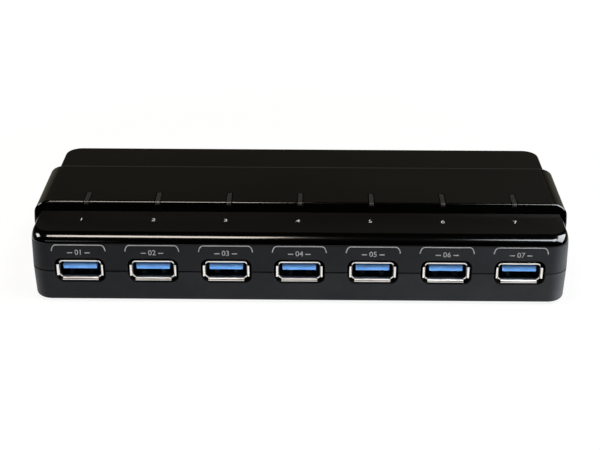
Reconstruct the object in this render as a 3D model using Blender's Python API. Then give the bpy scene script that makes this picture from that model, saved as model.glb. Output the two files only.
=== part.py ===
"""Seven-port desktop hub: a gloss lid with a raised band, a matte frame and a matte tray
around one circuit board that carries the sockets, lights and chips.

Metres, +Z up. The origin lies on the surface that the hub stands on, below its middle.
The seven sockets look along -Y, the two cable sockets along +Y, and the length runs along X.
"""
import math

import bmesh
import bpy

# Outer form
PORT_COUNT = 7
PORT_PITCH = 0.02265
END_MARGIN = 0.004125
FRONT_TIER_DEPTH = 0.0174
BAND_DEPTH = 0.0288
BACK_TIER_DEPTH = 0.0234
CORNER_R = 0.0060
DRAFT_DEG = 1.5
TRAY_HEIGHT = 0.0099
FRAME_HEIGHT = 0.0095
LID_HEIGHT = 0.0024
BAND_RISE = 0.0030
BAND_PROUD = 0.00125
BAND_SHOULDER_R = 0.0040
BAND_EDGE_R = 0.0007
BAND_FACE_LEAN = 0.0005
TOP_EDGE_REACH = 0.0032
TOP_EDGE_DROP = 0.0022
BOTTOM_EDGE_R = 0.0010
SEAM_CHAMFER = 0.0002

# Walls, joints and fits
WALL = 0.0020
FLOOR = 0.0020
LID_THICK = 0.0016
BAND_THICK = 0.0016
SEAM_GAP = 0.0003
LID_GAP = 0.0002
FIT = 0.0003
RIM_LIP_THICK = 0.0008
RIM_LIP_HEIGHT = 0.0012
LID_LIP_THICK = 0.0012
LID_LIP_HEIGHT = 0.0015

# Feet and screws
FOOT_DIAMETER = 0.0090
FOOT_PROUD = 0.0006
FOOT_RECESS = 0.0006
FOOT_GLUE = 0.0002
FOOT_INSET = 0.0100
FOOT_EASE = 0.0003
SCREW_DIAMETER = 0.0026
SCREW_LENGTH = 0.0110
SCREW_POINT_DIAMETER = 0.0010
SCREW_HEAD_DIAMETER = 0.0050
SCREW_FACE_DIAMETER = 0.0036
SCREW_HEAD_HEIGHT = 0.0018
SCREW_CROWN = 0.0011
SCREW_SEAT = 0.0029
CROSS_SLOT_LENGTH = 0.0028
CROSS_SLOT_WIDTH = 0.0007
CROSS_SLOT_DEPTH = 0.0008
POST_HEIGHT = 0.0035
POST_WALL = 0.0008
BOSS_WALL = 0.0016
FRONT_SCREW_GAP = 0.0008
BACK_SCREW_GAP = 0.0026
BACK_SCREW_INSET = 0.0180

# Circuit board
BOARD_THICK = 0.0016
BOARD_EDGE_GAP = 0.0007
BOARD_SIDE_GAP = 0.0021

# Front sockets
THROAT_WIDTH = 0.0125
THROAT_HEIGHT = 0.00512
THROAT_CORNER_R = 0.0008
SHELL_WALL = 0.0003
SHELL_LENGTH = 0.0178
FLARE = 0.00065
FLARE_DEPTH = 0.0012
CORNER_RELIEF = 0.0007
RELIEF_DEPTH = 0.0010
RIM_SETBACK = 0.0002
PORT_HOLE_GAP = 0.0005
PORT_HOLE_R = 0.0024
LEG_WIDTH = 0.0020
LEG_THICK = 0.0002
LEG_SETBACK = 0.0110
LEG_TAIL = 0.0008
TONGUE_SIDE_GAP = 0.0008
TONGUE_TOP_GAP = 0.00067
TONGUE_THICK = 0.00184
TONGUE_SETBACK = 0.0009
TONGUE_LENGTH = 0.0088
TONGUE_TAPER = 0.0002

# Status lights
LED_WIDTH = 0.0012
LED_LENGTH = 0.0020
LED_HEIGHT = 0.0008
LED_BASE_HEIGHT = 0.0004
LED_BASE_R = 0.0002
LENS_INSET = 0.0001
LENS_ROUND = 0.0002
LED_SETBACK = 0.0031
WINDOW_WIDTH = 0.0010
WINDOW_LENGTH = 0.0075
WINDOW_DROP = 0.0002
WINDOW_GAP = 0.0002
GUIDE_SHOULDER = 0.0015
GUIDE_SHOULDER_HEIGHT = 0.0012
GUIDE_STEM = 0.0024
GUIDE_TAPER = 0.0045

# Cable socket at the back
UPLINK_X = 0.0120
UPLINK_WIDTH = 0.0120
UPLINK_HEIGHT = 0.0120
UPLINK_LENGTH = 0.0170
UPLINK_SINK = 0.0032
UPLINK_SETBACK = 0.0004
UPLINK_CORNER_R = 0.0006
UPLINK_RIM_SIDE = 0.00175
UPLINK_RIM_TOP = 0.0007
MOUTH_CHAMFER = 0.0014
NECK_HEIGHT = 0.0031
UPLINK_BLOCK = 0.0070
LOWER_TONGUE_GAP = 0.00145
LOWER_TONGUE_HEIGHT = 0.0032
UPPER_TONGUE_GAP = 0.00085
UPPER_TONGUE_HEIGHT = 0.0013
UPLINK_TONGUE_SETBACK = 0.0010

# Power socket at the back
JACK_GAP = 0.0135
JACK_BORE = 0.0064
JACK_BORE_DEPTH = 0.0095
BARREL_WALL = 0.0008
BARREL_SETBACK = 0.0003
JACK_CHEEK = 0.0005
JACK_BROW = 0.0015
JACK_BACK_WALL = 0.0025
JACK_SINK = 0.0029
JACK_CORNER_R = 0.0008
PIN_DIAMETER = 0.0020
PIN_TIP_DIAMETER = 0.0005
PIN_SEAT_DEPTH = 0.0020
PIN_SETBACK = 0.0010

# Chips and other parts on the board
CHIP_SIDE = 0.0090
CHIP_HEIGHT = 0.0009
CHIP_EASE = 0.00015
CRYSTAL_LENGTH = 0.0110
CRYSTAL_WIDTH = 0.0046
CRYSTAL_HEIGHT = 0.0036
CRYSTAL_EASE = 0.0004
CRYSTAL_GAP = 0.0007
CAPACITOR_DIAMETER = 0.0063
CAPACITOR_HEIGHT = 0.0058
CAPACITOR_GAP = 0.0027
CAPACITOR_EASE = 0.0003
CAPACITOR_NECK_DEPTH = 0.0003
CAPACITOR_NECK_RISE = 0.0010
INDUCTOR_SIDE = 0.0068
INDUCTOR_HEIGHT = 0.0040
INDUCTOR_CORNER_R = 0.0014
INDUCTOR_EASE = 0.0005
REGULATOR_LENGTH = 0.0065
REGULATOR_WIDTH = 0.0035
REGULATOR_HEIGHT = 0.0016
REGULATOR_EASE = 0.0002
PART_GAP = 0.0040

# Mesh fineness and the least corner radius
CORNER_STEPS = 6
FILLET_STEPS = 5
HOLE_STEPS = 4
SOCKET_STEPS = 3
FLARE_STEPS = 2
ROUND_STEPS = 16
LEAST_R = 0.0003

# Places that follow from the sizes above
HUB_WIDTH = PORT_COUNT * PORT_PITCH + 2 * END_MARGIN
HUB_DEPTH = FRONT_TIER_DEPTH + BAND_DEPTH + BACK_TIER_DEPTH
FRONT = -HUB_DEPTH / 2
BACK = HUB_DEPTH / 2
LEAN = math.tan(math.radians(DRAFT_DEG))
CUT_PAST = WALL / 2
OVERLAP = WALL / 4
TRAY_BOTTOM = FOOT_PROUD
TRAY_TOP = TRAY_BOTTOM + TRAY_HEIGHT
FRAME_BOTTOM = TRAY_TOP + SEAM_GAP
FRAME_TOP = FRAME_BOTTOM + FRAME_HEIGHT
FRAME_TOP_INSET = FRAME_HEIGHT * LEAN
LID_BOTTOM = FRAME_TOP + LID_GAP
TIER_TOP = LID_BOTTOM + LID_HEIGHT
LID_UNDERSIDE = TIER_TOP - LID_THICK
BAND_TOP = TIER_TOP + BAND_RISE
BAND_UNDERSIDE = BAND_TOP - BAND_THICK
BAND_FRONT = FRONT + FRONT_TIER_DEPTH
BAND_BACK = BAND_FRONT + BAND_DEPTH
BAND_HALF = HUB_WIDTH / 2 + BAND_PROUD
FLOOR_TOP = TRAY_BOTTOM + FLOOR
POST_TOP = FLOOR_TOP + POST_HEIGHT
BOARD_BOTTOM = POST_TOP + FIT
BOARD_TOP = BOARD_BOTTOM + BOARD_THICK
PARTS_BASE = BOARD_TOP + FIT
PORT_XS = [(index - (PORT_COUNT - 1) / 2) * PORT_PITCH for index in range(PORT_COUNT)]
PORT_Z = PARTS_BASE + SHELL_WALL + THROAT_HEIGHT / 2
RIM_Y = FRONT + RIM_SETBACK
SHELL_BACK = RIM_Y + SHELL_LENGTH
WINDOW_END = BAND_FRONT + WINDOW_LENGTH
WINDOW_FOOT = BAND_TOP - BAND_EDGE_R - WINDOW_DROP
LED_Y = max(SHELL_BACK, BAND_FRONT + BAND_THICK) + LED_SETBACK
SCREW_HOLE = SCREW_DIAMETER + 2 * FIT
HEAD_HOLE = SCREW_HEAD_DIAMETER + 2 * FIT
POST_DIAMETER = HEAD_HOLE + 2 * POST_WALL
BOSS_DIAMETER = SCREW_HOLE + 2 * BOSS_WALL
FRONT_SCREW_X = (PORT_COUNT / 2 - 1) * PORT_PITCH
FRONT_SCREW_Y = SHELL_BACK + FRONT_SCREW_GAP + POST_DIAMETER / 2
BACK_SCREW_X = HUB_WIDTH / 2 - BACK_SCREW_INSET
BACK_SCREW_Y = BAND_BACK + BACK_SCREW_GAP
SCREW_PLACES = [
    (-FRONT_SCREW_X, FRONT_SCREW_Y),
    (FRONT_SCREW_X, FRONT_SCREW_Y),
    (-BACK_SCREW_X, BACK_SCREW_Y),
    (BACK_SCREW_X, BACK_SCREW_Y),
]
SCREW_SEAT_Z = TRAY_BOTTOM + SCREW_SEAT
SCREW_TIP = SCREW_SEAT_Z - FIT + SCREW_LENGTH
FOOT_X = HUB_WIDTH / 2 - FOOT_INSET
FOOT_Y = HUB_DEPTH / 2 - FOOT_INSET
FOOT_PLACES = [(x, y) for x in (-FOOT_X, FOOT_X) for y in (-FOOT_Y, FOOT_Y)]
UPLINK_Z = BOARD_TOP - UPLINK_SINK + UPLINK_HEIGHT / 2
UPLINK_FACE = BACK - UPLINK_SETBACK
UPLINK_END = UPLINK_FACE - UPLINK_LENGTH
MOUTH_WIDTH = UPLINK_WIDTH - 2 * UPLINK_RIM_SIDE
MOUTH_HEIGHT = UPLINK_HEIGHT - 2 * UPLINK_RIM_TOP
BARREL_DIAMETER = JACK_BORE + 2 * BARREL_WALL
JACK_WIDTH = BARREL_DIAMETER + 2 * JACK_CHEEK
JACK_HEIGHT = BARREL_DIAMETER + 2 * JACK_BROW
JACK_X = UPLINK_X + UPLINK_WIDTH / 2 + JACK_GAP + JACK_WIDTH / 2
JACK_Z = BOARD_TOP - JACK_SINK + JACK_HEIGHT / 2
JACK_SHOULDER = BACK - WALL - FIT
BARREL_FACE = BACK - BARREL_SETBACK
BORE_END = BARREL_FACE - JACK_BORE_DEPTH
PIN_SEAT_END = BORE_END - PIN_SEAT_DEPTH
JACK_END = PIN_SEAT_END - JACK_BACK_WALL
PARTS_Y = (LED_Y + UPLINK_END) / 2
CRYSTAL_Y = PARTS_Y - CHIP_SIDE / 2 - CRYSTAL_GAP - CRYSTAL_WIDTH / 2
CAPACITOR_PITCH = CAPACITOR_DIAMETER + CAPACITOR_GAP
CAPACITOR_XS = [UPLINK_X - CAPACITOR_PITCH, UPLINK_X, UPLINK_X + CAPACITOR_PITCH]
INDUCTOR_X = CAPACITOR_XS[0] - CAPACITOR_DIAMETER / 2 - PART_GAP - INDUCTOR_SIDE / 2
LEFT_CHIP_X = INDUCTOR_X - INDUCTOR_SIDE / 2 - PART_GAP - CHIP_SIDE / 2
RIGHT_CHIP_X = CAPACITOR_XS[-1] + CAPACITOR_DIAMETER / 2 + PART_GAP + CHIP_SIDE / 2
REGULATOR_X = RIGHT_CHIP_X + CHIP_SIDE / 2 + PART_GAP + REGULATOR_LENGTH / 2


def rounded_rect(width, height, radius, steps=CORNER_STEPS):
    """Points of a rounded rectangle about the origin, anticlockwise from its right side."""
    points = []
    for quarter, (side_x, side_y) in enumerate(((1, 1), (-1, 1), (-1, -1), (1, -1))):
        middle_x = side_x * (width / 2 - radius)
        middle_y = side_y * (height / 2 - radius)
        for step in range(steps + 1):
            angle = math.radians(90) * (quarter + step / steps)
            points.append((middle_x + radius * math.cos(angle), middle_y + radius * math.sin(angle)))
    return points


def circle(diameter, steps=ROUND_STEPS):
    """Points of a circle about the origin."""
    angles = [2 * math.pi * step / steps for step in range(steps)]
    return [(diameter / 2 * math.cos(angle), diameter / 2 * math.sin(angle)) for angle in angles]


def moved(points, across, along):
    """Flat points shifted in their own plane."""
    return [(first + across, second + along) for first, second in points]


def at_x(points, x):
    """Flat points (y, z) set in the plane at x."""
    return [(x, y, z) for y, z in points]


def at_y(points, y):
    """Flat points (x, z) set in the plane at y."""
    return [(x, y, z) for x, z in points]


def at_z(points, z):
    """Flat points (x, y) set in the plane at z."""
    return [(x, y, z) for x, y in points]


def loft(name, loops, ring=False):
    """One closed body through equal loops of points, capped at its ends unless it is a ring."""
    count = len(loops[0])
    rows = len(loops)
    vertices = [point for loop in loops for point in loop]
    faces = []
    for row in range(rows if ring else rows - 1):
        low = row * count
        high = (row + 1) % rows * count
        for index in range(count):
            after = (index + 1) % count
            faces.append((low + index, low + after, high + after, high + index))
    if not ring:
        faces.append(tuple(reversed(range(count))))
        faces.append(tuple(range((rows - 1) * count, rows * count)))
    mesh = bpy.data.meshes.new(name)
    mesh.from_pydata(vertices, [], faces)
    work = bmesh.new()
    work.from_mesh(mesh)
    bmesh.ops.recalc_face_normals(work, faces=work.faces)
    work.to_mesh(mesh)
    work.free()
    body = bpy.data.objects.new(name, mesh)
    bpy.context.scene.collection.objects.link(body)
    return body


def turned(name, profile):
    """A round body about Z from (diameter, height) pairs."""
    return loft(name, [at_z(circle(diameter), height) for diameter, height in profile])


def combine(body, tool, operation):
    """Join a tool to a body or cut it out, and keep the plain mesh that results."""
    modifier = body.modifiers.new("combine", "BOOLEAN")
    modifier.operation = operation
    modifier.solver = "EXACT"
    modifier.object = tool
    graph = bpy.context.evaluated_depsgraph_get()
    result = bpy.data.meshes.new_from_object(body.evaluated_get(graph))
    body.modifiers.clear()
    body.data = result
    result.name = body.name
    bpy.data.objects.remove(tool)


def join(body, tool):
    combine(body, tool, "UNION")


def cut(body, tool):
    combine(body, tool, "DIFFERENCE")


def finish(name, colour, roughness, metallic=0.0, alpha=1.0):
    """A plain Principled material."""
    material = bpy.data.materials.new(name)
    material.use_nodes = True
    shader = material.node_tree.nodes["Principled BSDF"]
    shader.inputs["Base Color"].default_value = (*colour, 1.0)
    shader.inputs["Roughness"].default_value = roughness
    shader.inputs["Metallic"].default_value = metallic
    shader.inputs["Alpha"].default_value = alpha
    return material


def settle(body, material, parent, sharp_degrees=35):
    """Give a body its material, its smooth shading and its place in the assembly."""
    body.data.materials.clear()
    body.data.materials.append(material)
    body.data.shade_smooth()
    body.data.set_sharp_from_angle(angle=math.radians(sharp_degrees))
    body.parent = parent


def repeat(body, base_name, places):
    """Numbered copies of one body at the given places, sharing its mesh in place of the body itself."""
    copies = []
    for number, place in enumerate(places, start=1):
        copy = bpy.data.objects.new(f"{base_name}_{number}", body.data)
        copy.location = place
        bpy.context.scene.collection.objects.link(copy)
        copies.append(copy)
    bpy.data.objects.remove(body)
    return copies


def housing_loop(inset, height):
    """The housing's plan at one height, drawn in by an inset."""
    radius = max(CORNER_R - inset, LEAST_R)
    return at_z(rounded_rect(HUB_WIDTH - 2 * inset, HUB_DEPTH - 2 * inset, radius), height)


def frame_loop(inset, height, band_half=None):
    """The frame's plan at one height, with the band's step on both sides where it stands proud."""
    points = [(x, y) for x, y, _ in housing_loop(inset, height)]
    half = HUB_WIDTH / 2 - inset
    outer = half if band_half is None else band_half
    soft = half if band_half is None else outer - BAND_EDGE_R / 2
    step = [
        (half, BAND_FRONT),
        (soft, BAND_FRONT + BAND_EDGE_R / 4),
        (outer, BAND_FRONT + BAND_EDGE_R),
        (outer, BAND_BACK - BAND_EDGE_R),
        (soft, BAND_BACK - BAND_EDGE_R / 4),
        (half, BAND_BACK),
    ]
    left_step = [(-x, y) for x, y in reversed(step)]
    middle = len(points) // 2
    return at_z(points[:middle] + left_step + points[middle:] + step, height)


def port_hole(x):
    """The cutter for the opening round one front socket, through the front wall."""
    width = THROAT_WIDTH + 2 * (SHELL_WALL + FLARE + PORT_HOLE_GAP)
    height = THROAT_HEIGHT + 2 * (SHELL_WALL + FLARE + PORT_HOLE_GAP)
    outline = moved(rounded_rect(width, height, PORT_HOLE_R, HOLE_STEPS), x, PORT_Z)
    inside = FRONT + WALL + CUT_PAST
    return loft("port_hole", [at_y(outline, FRONT - CUT_PAST), at_y(outline, inside)])


def uplink_room():
    """The plan that the cable socket needs in a wall, with its fit all round."""
    width = UPLINK_WIDTH + 2 * FIT
    height = UPLINK_HEIGHT + 2 * FIT
    return moved(rounded_rect(width, height, UPLINK_CORNER_R + FIT, SOCKET_STEPS), UPLINK_X, UPLINK_Z)


def back_holes():
    """The cutters for the two sockets at the back, through the back wall."""
    round_hole = moved(circle(BARREL_DIAMETER + 2 * FIT), JACK_X, JACK_Z)
    near = BACK - WALL - CUT_PAST
    far = BACK + CUT_PAST
    outlines = (uplink_room(), round_hole)
    return [loft("back_hole", [at_y(outline, near), at_y(outline, far)]) for outline in outlines]


def lip_notches():
    """The cutters that keep the lid clear of the two sockets at the back."""
    jack_room = rounded_rect(JACK_WIDTH + 2 * FIT, JACK_HEIGHT + 2 * FIT, JACK_CORNER_R + FIT, SOCKET_STEPS)
    jack_room = moved(jack_room, JACK_X, JACK_Z)
    return [
        loft("notch", [at_y(uplink_room(), UPLINK_END - FIT), at_y(uplink_room(), BACK + CUT_PAST)]),
        loft("notch", [at_y(jack_room, JACK_END - FIT), at_y(jack_room, JACK_SHOULDER + FIT)]),
    ]


def tray():
    """The lower shell, with a rim lip, screw posts and shallow seats for its feet."""
    base = TRAY_HEIGHT * LEAN
    loops = []
    for step in range(FILLET_STEPS + 1):
        angle = math.radians(90) * step / FILLET_STEPS
        inset = base + BOTTOM_EDGE_R * (1 - math.sin(angle))
        loops.append(housing_loop(inset, TRAY_BOTTOM + BOTTOM_EDGE_R * (1 - math.cos(angle))))
    lip_inset = WALL - RIM_LIP_THICK
    floor_inset = WALL + (TRAY_TOP - FLOOR_TOP) * LEAN
    loops += [
        housing_loop(0, TRAY_TOP - SEAM_CHAMFER),
        housing_loop(SEAM_CHAMFER, TRAY_TOP),
        housing_loop(lip_inset, TRAY_TOP),
        housing_loop(lip_inset, TRAY_TOP + RIM_LIP_HEIGHT),
        housing_loop(WALL, TRAY_TOP + RIM_LIP_HEIGHT),
        housing_loop(floor_inset, FLOOR_TOP),
    ]
    body = loft("bottom_housing", loops)
    for x, y in SCREW_PLACES:
        post = turned("post", [(POST_DIAMETER, FLOOR_TOP - OVERLAP), (POST_DIAMETER, POST_TOP)])
        post.location = (x, y, 0)
        join(body, post)
        hole = turned("screw_hole", [
            (HEAD_HOLE, TRAY_BOTTOM - CUT_PAST),
            (HEAD_HOLE, SCREW_SEAT_Z),
            (SCREW_HOLE, SCREW_SEAT_Z),
            (SCREW_HOLE, POST_TOP + CUT_PAST),
        ])
        hole.location = (x, y, 0)
        cut(body, hole)
    for x, y in FOOT_PLACES:
        seat = FOOT_DIAMETER + 2 * FIT
        recess = turned("foot_seat", [(seat, TRAY_BOTTOM - CUT_PAST), (seat, TRAY_BOTTOM + FOOT_RECESS)])
        recess.location = (x, y, 0)
        cut(body, recess)
    for x in PORT_XS:
        cut(body, port_hole(x))
    for hole in back_holes():
        cut(body, hole)
    return body


def frame():
    """The upright wall between tray and lid, with the band's step running down its sides."""
    rebate = WALL - RIM_LIP_THICK - FIT
    rebate_top = TRAY_TOP + RIM_LIP_HEIGHT + FIT
    loops = [
        frame_loop(SEAM_CHAMFER, FRAME_BOTTOM, BAND_HALF - SEAM_CHAMFER),
        frame_loop(0, FRAME_BOTTOM + SEAM_CHAMFER, BAND_HALF),
        frame_loop(FRAME_TOP_INSET, FRAME_TOP, BAND_HALF),
        frame_loop(FRAME_TOP_INSET + WALL, FRAME_TOP),
        frame_loop(WALL, rebate_top),
        frame_loop(rebate, rebate_top),
        frame_loop(rebate, FRAME_BOTTOM),
    ]
    body = loft("upper_housing", loops, ring=True)
    for x in PORT_XS:
        cut(body, port_hole(x))
    for hole in back_holes():
        cut(body, hole)
    return body


def band_lean(z):
    """How far the band's front and back faces lean in at a height above the lid's edge."""
    return BAND_FACE_LEAN * (z - LID_BOTTOM) / (BAND_TOP - LID_BOTTOM)


def band_loop(y, inset):
    """The band's arch across the hub at one depth, drawn in by an inset at its front and back edges."""
    half = BAND_HALF - inset
    top = BAND_TOP - inset
    radius = max(min(BAND_SHOULDER_R, BAND_TOP - LID_BOTTOM - OVERLAP) - inset, LEAST_R)
    points = [(half, LID_BOTTOM)]
    for step in range(CORNER_STEPS + 1):
        angle = math.radians(90) * step / CORNER_STEPS
        points.append((half - radius + radius * math.cos(angle), top - radius + radius * math.sin(angle)))
    points += [(-x, z) for x, z in reversed(points)]
    inward = 1 if y < BAND_FRONT + BAND_DEPTH / 2 else -1
    return [(x, y + inward * band_lean(z), z) for x, z in points]


def band():
    """The raised band, a rounded arch from side to side with small edges at front and back."""
    edge = []
    for step in range(SOCKET_STEPS + 1):
        angle = math.radians(90) * step / SOCKET_STEPS
        edge.append((BAND_EDGE_R * (1 - math.cos(angle)), BAND_EDGE_R * (1 - math.sin(angle))))
    loops = [band_loop(BAND_FRONT + back, inset) for back, inset in edge]
    loops += [band_loop(BAND_BACK - back, inset) for back, inset in reversed(edge)]
    return loft("band", loops)


def lid():
    """The gloss lid: two low tiers and the band in one shell, with a lip and four screw bosses below."""
    drop = min(TOP_EDGE_DROP, LID_HEIGHT - SEAM_CHAMFER)
    lip_outer = FRAME_TOP_INSET + WALL + FIT
    lip_inner = lip_outer + LID_LIP_THICK
    lip_bottom = FRAME_TOP - LID_LIP_HEIGHT
    loops = [
        housing_loop(lip_inner, LID_UNDERSIDE),
        housing_loop(lip_inner, lip_bottom),
        housing_loop(lip_outer, lip_bottom),
        housing_loop(lip_outer, LID_BOTTOM),
        housing_loop(FRAME_TOP_INSET, LID_BOTTOM),
    ]
    for step in range(FILLET_STEPS + 1):
        angle = math.radians(90) * step / FILLET_STEPS
        inset = FRAME_TOP_INSET + TOP_EDGE_REACH * (1 - math.cos(angle))
        loops.append(housing_loop(inset, TIER_TOP - drop * (1 - math.sin(angle))))
    body = loft("top_cover", loops)
    join(body, band())
    hollow_width = HUB_WIDTH - 2 * (lip_inner + OVERLAP)
    hollow_depth = BAND_DEPTH - 2 * BAND_THICK
    hollow = rounded_rect(hollow_width, hollow_depth, BAND_THICK, SOCKET_STEPS)
    hollow = moved(hollow, 0, (BAND_FRONT + BAND_BACK) / 2)
    cut(body, loft("hollow", [at_z(hollow, LID_BOTTOM - CUT_PAST), at_z(hollow, BAND_UNDERSIDE)]))
    for x, y in SCREW_PLACES:
        boss_top = OVERLAP + (BAND_UNDERSIDE if y < BAND_BACK else LID_UNDERSIDE)
        boss = turned("boss", [(BOSS_DIAMETER, BOARD_TOP + FIT), (BOSS_DIAMETER, boss_top)])
        boss.location = (x, y, 0)
        join(body, boss)
        pilot = turned("pilot", [(SCREW_HOLE, BOARD_TOP - CUT_PAST), (SCREW_HOLE, SCREW_TIP + FIT)])
        pilot.location = (x, y, 0)
        cut(body, pilot)
    for notch in lip_notches():
        cut(body, notch)
    wall_back = BAND_FRONT + BAND_THICK + FIT
    slot_end = WINDOW_END + WINDOW_GAP
    slot_foot = WINDOW_FOOT - WINDOW_GAP
    outline = [
        (BAND_FRONT - CUT_PAST, slot_foot),
        (wall_back, slot_foot),
        (wall_back, BAND_UNDERSIDE - CUT_PAST),
        (slot_end, BAND_UNDERSIDE - CUT_PAST),
        (slot_end, BAND_TOP + CUT_PAST),
        (BAND_FRONT - CUT_PAST, BAND_TOP + CUT_PAST),
    ]
    half = WINDOW_WIDTH / 2 + WINDOW_GAP
    for x in PORT_XS:
        cut(body, loft("light_slot", [at_x(outline, x - half), at_x(outline, x + half)]))
    return body


def light_guide():
    """A clear blade from a light on the board up to its window in the band's front edge."""
    outline = [(BAND_FRONT + band_lean(WINDOW_FOOT), WINDOW_FOOT)]
    for step in range(SOCKET_STEPS + 1):
        angle = math.radians(90) * step / SOCKET_STEPS
        height = BAND_TOP - BAND_EDGE_R * (1 - math.sin(angle))
        back = BAND_EDGE_R * (1 - math.cos(angle)) + band_lean(height)
        outline.append((BAND_FRONT + back, height))
    shoulder = BAND_UNDERSIDE - FIT
    shoulder_low = shoulder - GUIDE_SHOULDER_HEIGHT
    wall_back = BAND_FRONT + BAND_THICK + FIT + WINDOW_GAP
    led_top = PARTS_BASE + LED_HEIGHT + FIT
    outline += [
        (WINDOW_END, BAND_TOP),
        (WINDOW_END, shoulder),
        (WINDOW_END + GUIDE_SHOULDER, shoulder),
        (WINDOW_END + GUIDE_SHOULDER, shoulder_low),
        (LED_Y + GUIDE_STEM / 2, shoulder_low - GUIDE_TAPER),
        (LED_Y + GUIDE_STEM / 2, led_top),
        (LED_Y - GUIDE_STEM / 2, led_top),
        (LED_Y - GUIDE_STEM / 2, shoulder_low - GUIDE_TAPER),
        (wall_back, shoulder_low),
        (wall_back, WINDOW_FOOT),
    ]
    half = WINDOW_WIDTH / 2
    return loft("light_guide", [at_x(outline, -half), at_x(outline, half)])


def led():
    """A small lamp on the board: a square base and a domed lens."""
    profile = [(0, 0), (0, LED_BASE_HEIGHT)]
    for step in range(SOCKET_STEPS):
        angle = math.radians(90) * step / (SOCKET_STEPS - 1)
        rise = (LED_HEIGHT - LED_BASE_HEIGHT) * math.sin(angle)
        profile.append((LENS_INSET + LENS_ROUND * (1 - math.cos(angle)), LED_BASE_HEIGHT + rise))
    loops = []
    for inset, z in profile:
        outline = rounded_rect(LED_WIDTH - 2 * inset, LED_LENGTH - 2 * inset, LED_BASE_R, SOCKET_STEPS)
        loops.append(at_z(outline, z))
    return loft("led", loops)


def port_shell():
    """A folded metal socket shell: four flared lips with open corners, and a solder leg on each flank."""

    def tube(grow, y):
        width = THROAT_WIDTH + 2 * grow
        height = THROAT_HEIGHT + 2 * grow
        return at_y(rounded_rect(width, height, THROAT_CORNER_R + grow, SOCKET_STEPS), y)

    inner = []
    outer = []
    for step in range(FLARE_STEPS + 1):
        angle = math.radians(90) * step / FLARE_STEPS
        spread = FLARE * (1 - math.sin(angle))
        back = FLARE_DEPTH * (1 - math.cos(angle))
        inner.append(tube(spread, back))
        outer.append(tube(SHELL_WALL + spread, back + SHELL_WALL / 2))
    loops = [tube(SHELL_WALL, SHELL_LENGTH)] + outer[::-1] + inner + [tube(0, SHELL_LENGTH)]
    body = loft("port_shell", loops, ring=True)
    reach = CORNER_RELIEF + SHELL_WALL + FLARE + CUT_PAST
    relief_x = THROAT_WIDTH / 2 - CORNER_RELIEF + reach / 2
    relief_z = THROAT_HEIGHT / 2 - CORNER_RELIEF + reach / 2
    leg_x = THROAT_WIDTH / 2 + SHELL_WALL / 2
    leg_top = OVERLAP - THROAT_HEIGHT / 2 + THROAT_CORNER_R
    leg_bottom = BOARD_BOTTOM - LEG_TAIL - PORT_Z
    for side in (-1, 1):
        for level in (-1, 1):
            relief = moved(rounded_rect(reach, reach, LEAST_R, 1), side * relief_x, level * relief_z)
            cut(body, loft("relief", [at_y(relief, -CUT_PAST), at_y(relief, RELIEF_DEPTH)]))
        leg = moved(rounded_rect(LEG_THICK, LEG_WIDTH, LEG_THICK / 4, 1), side * leg_x, LEG_SETBACK)
        join(body, loft("leg", [at_z(leg, leg_bottom), at_z(leg, leg_top)]))
    return body


def port_tongue():
    """A socket's blue insulator: a block at the back with the contact tongue in the upper half."""
    block_front = TONGUE_SETBACK + TONGUE_LENGTH
    block = rounded_rect(THROAT_WIDTH - 2 * FIT, THROAT_HEIGHT - 2 * FIT, THROAT_CORNER_R / 2, SOCKET_STEPS)
    body = loft("port_tongue", [at_y(block, block_front), at_y(block, SHELL_LENGTH)])

    def bar(trim, y):
        width = THROAT_WIDTH - 2 * (TONGUE_SIDE_GAP + trim)
        outline = rounded_rect(width, TONGUE_THICK - 2 * trim, TONGUE_TAPER, 1)
        return at_y(moved(outline, 0, THROAT_HEIGHT / 2 - TONGUE_TOP_GAP - TONGUE_THICK / 2), y)

    loops = [bar(TONGUE_TAPER, TONGUE_SETBACK), bar(0, TONGUE_SETBACK + 2 * TONGUE_TAPER)]
    join(body, loft("bar", loops + [bar(0, block_front + OVERLAP)]))
    return body


def mouth_outline(trim):
    """The stepped mouth of the uplink socket about its own middle, drawn in by a trim."""
    low = -MOUTH_HEIGHT / 2 + trim
    high = MOUTH_HEIGHT / 2 - trim
    half = MOUTH_WIDTH / 2 - trim
    shoulder = MOUTH_HEIGHT / 2 - NECK_HEIGHT - MOUTH_CHAMFER - trim
    neck = half - MOUTH_CHAMFER
    right = [(half, low), (half, shoulder), (neck, shoulder + MOUTH_CHAMFER), (neck, high)]
    return right + [(-x, z) for x, z in reversed(right)]


def uplink_shell():
    """The metal shell of the cable socket at the back."""
    outline = rounded_rect(UPLINK_WIDTH, UPLINK_HEIGHT, UPLINK_CORNER_R, SOCKET_STEPS)
    body = loft("uplink_shell", [at_y(outline, 0), at_y(outline, -UPLINK_LENGTH)])
    mouth = mouth_outline(0)
    cut(body, loft("mouth", [at_y(mouth, CUT_PAST), at_y(mouth, -UPLINK_LENGTH - CUT_PAST)]))
    return body


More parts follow.
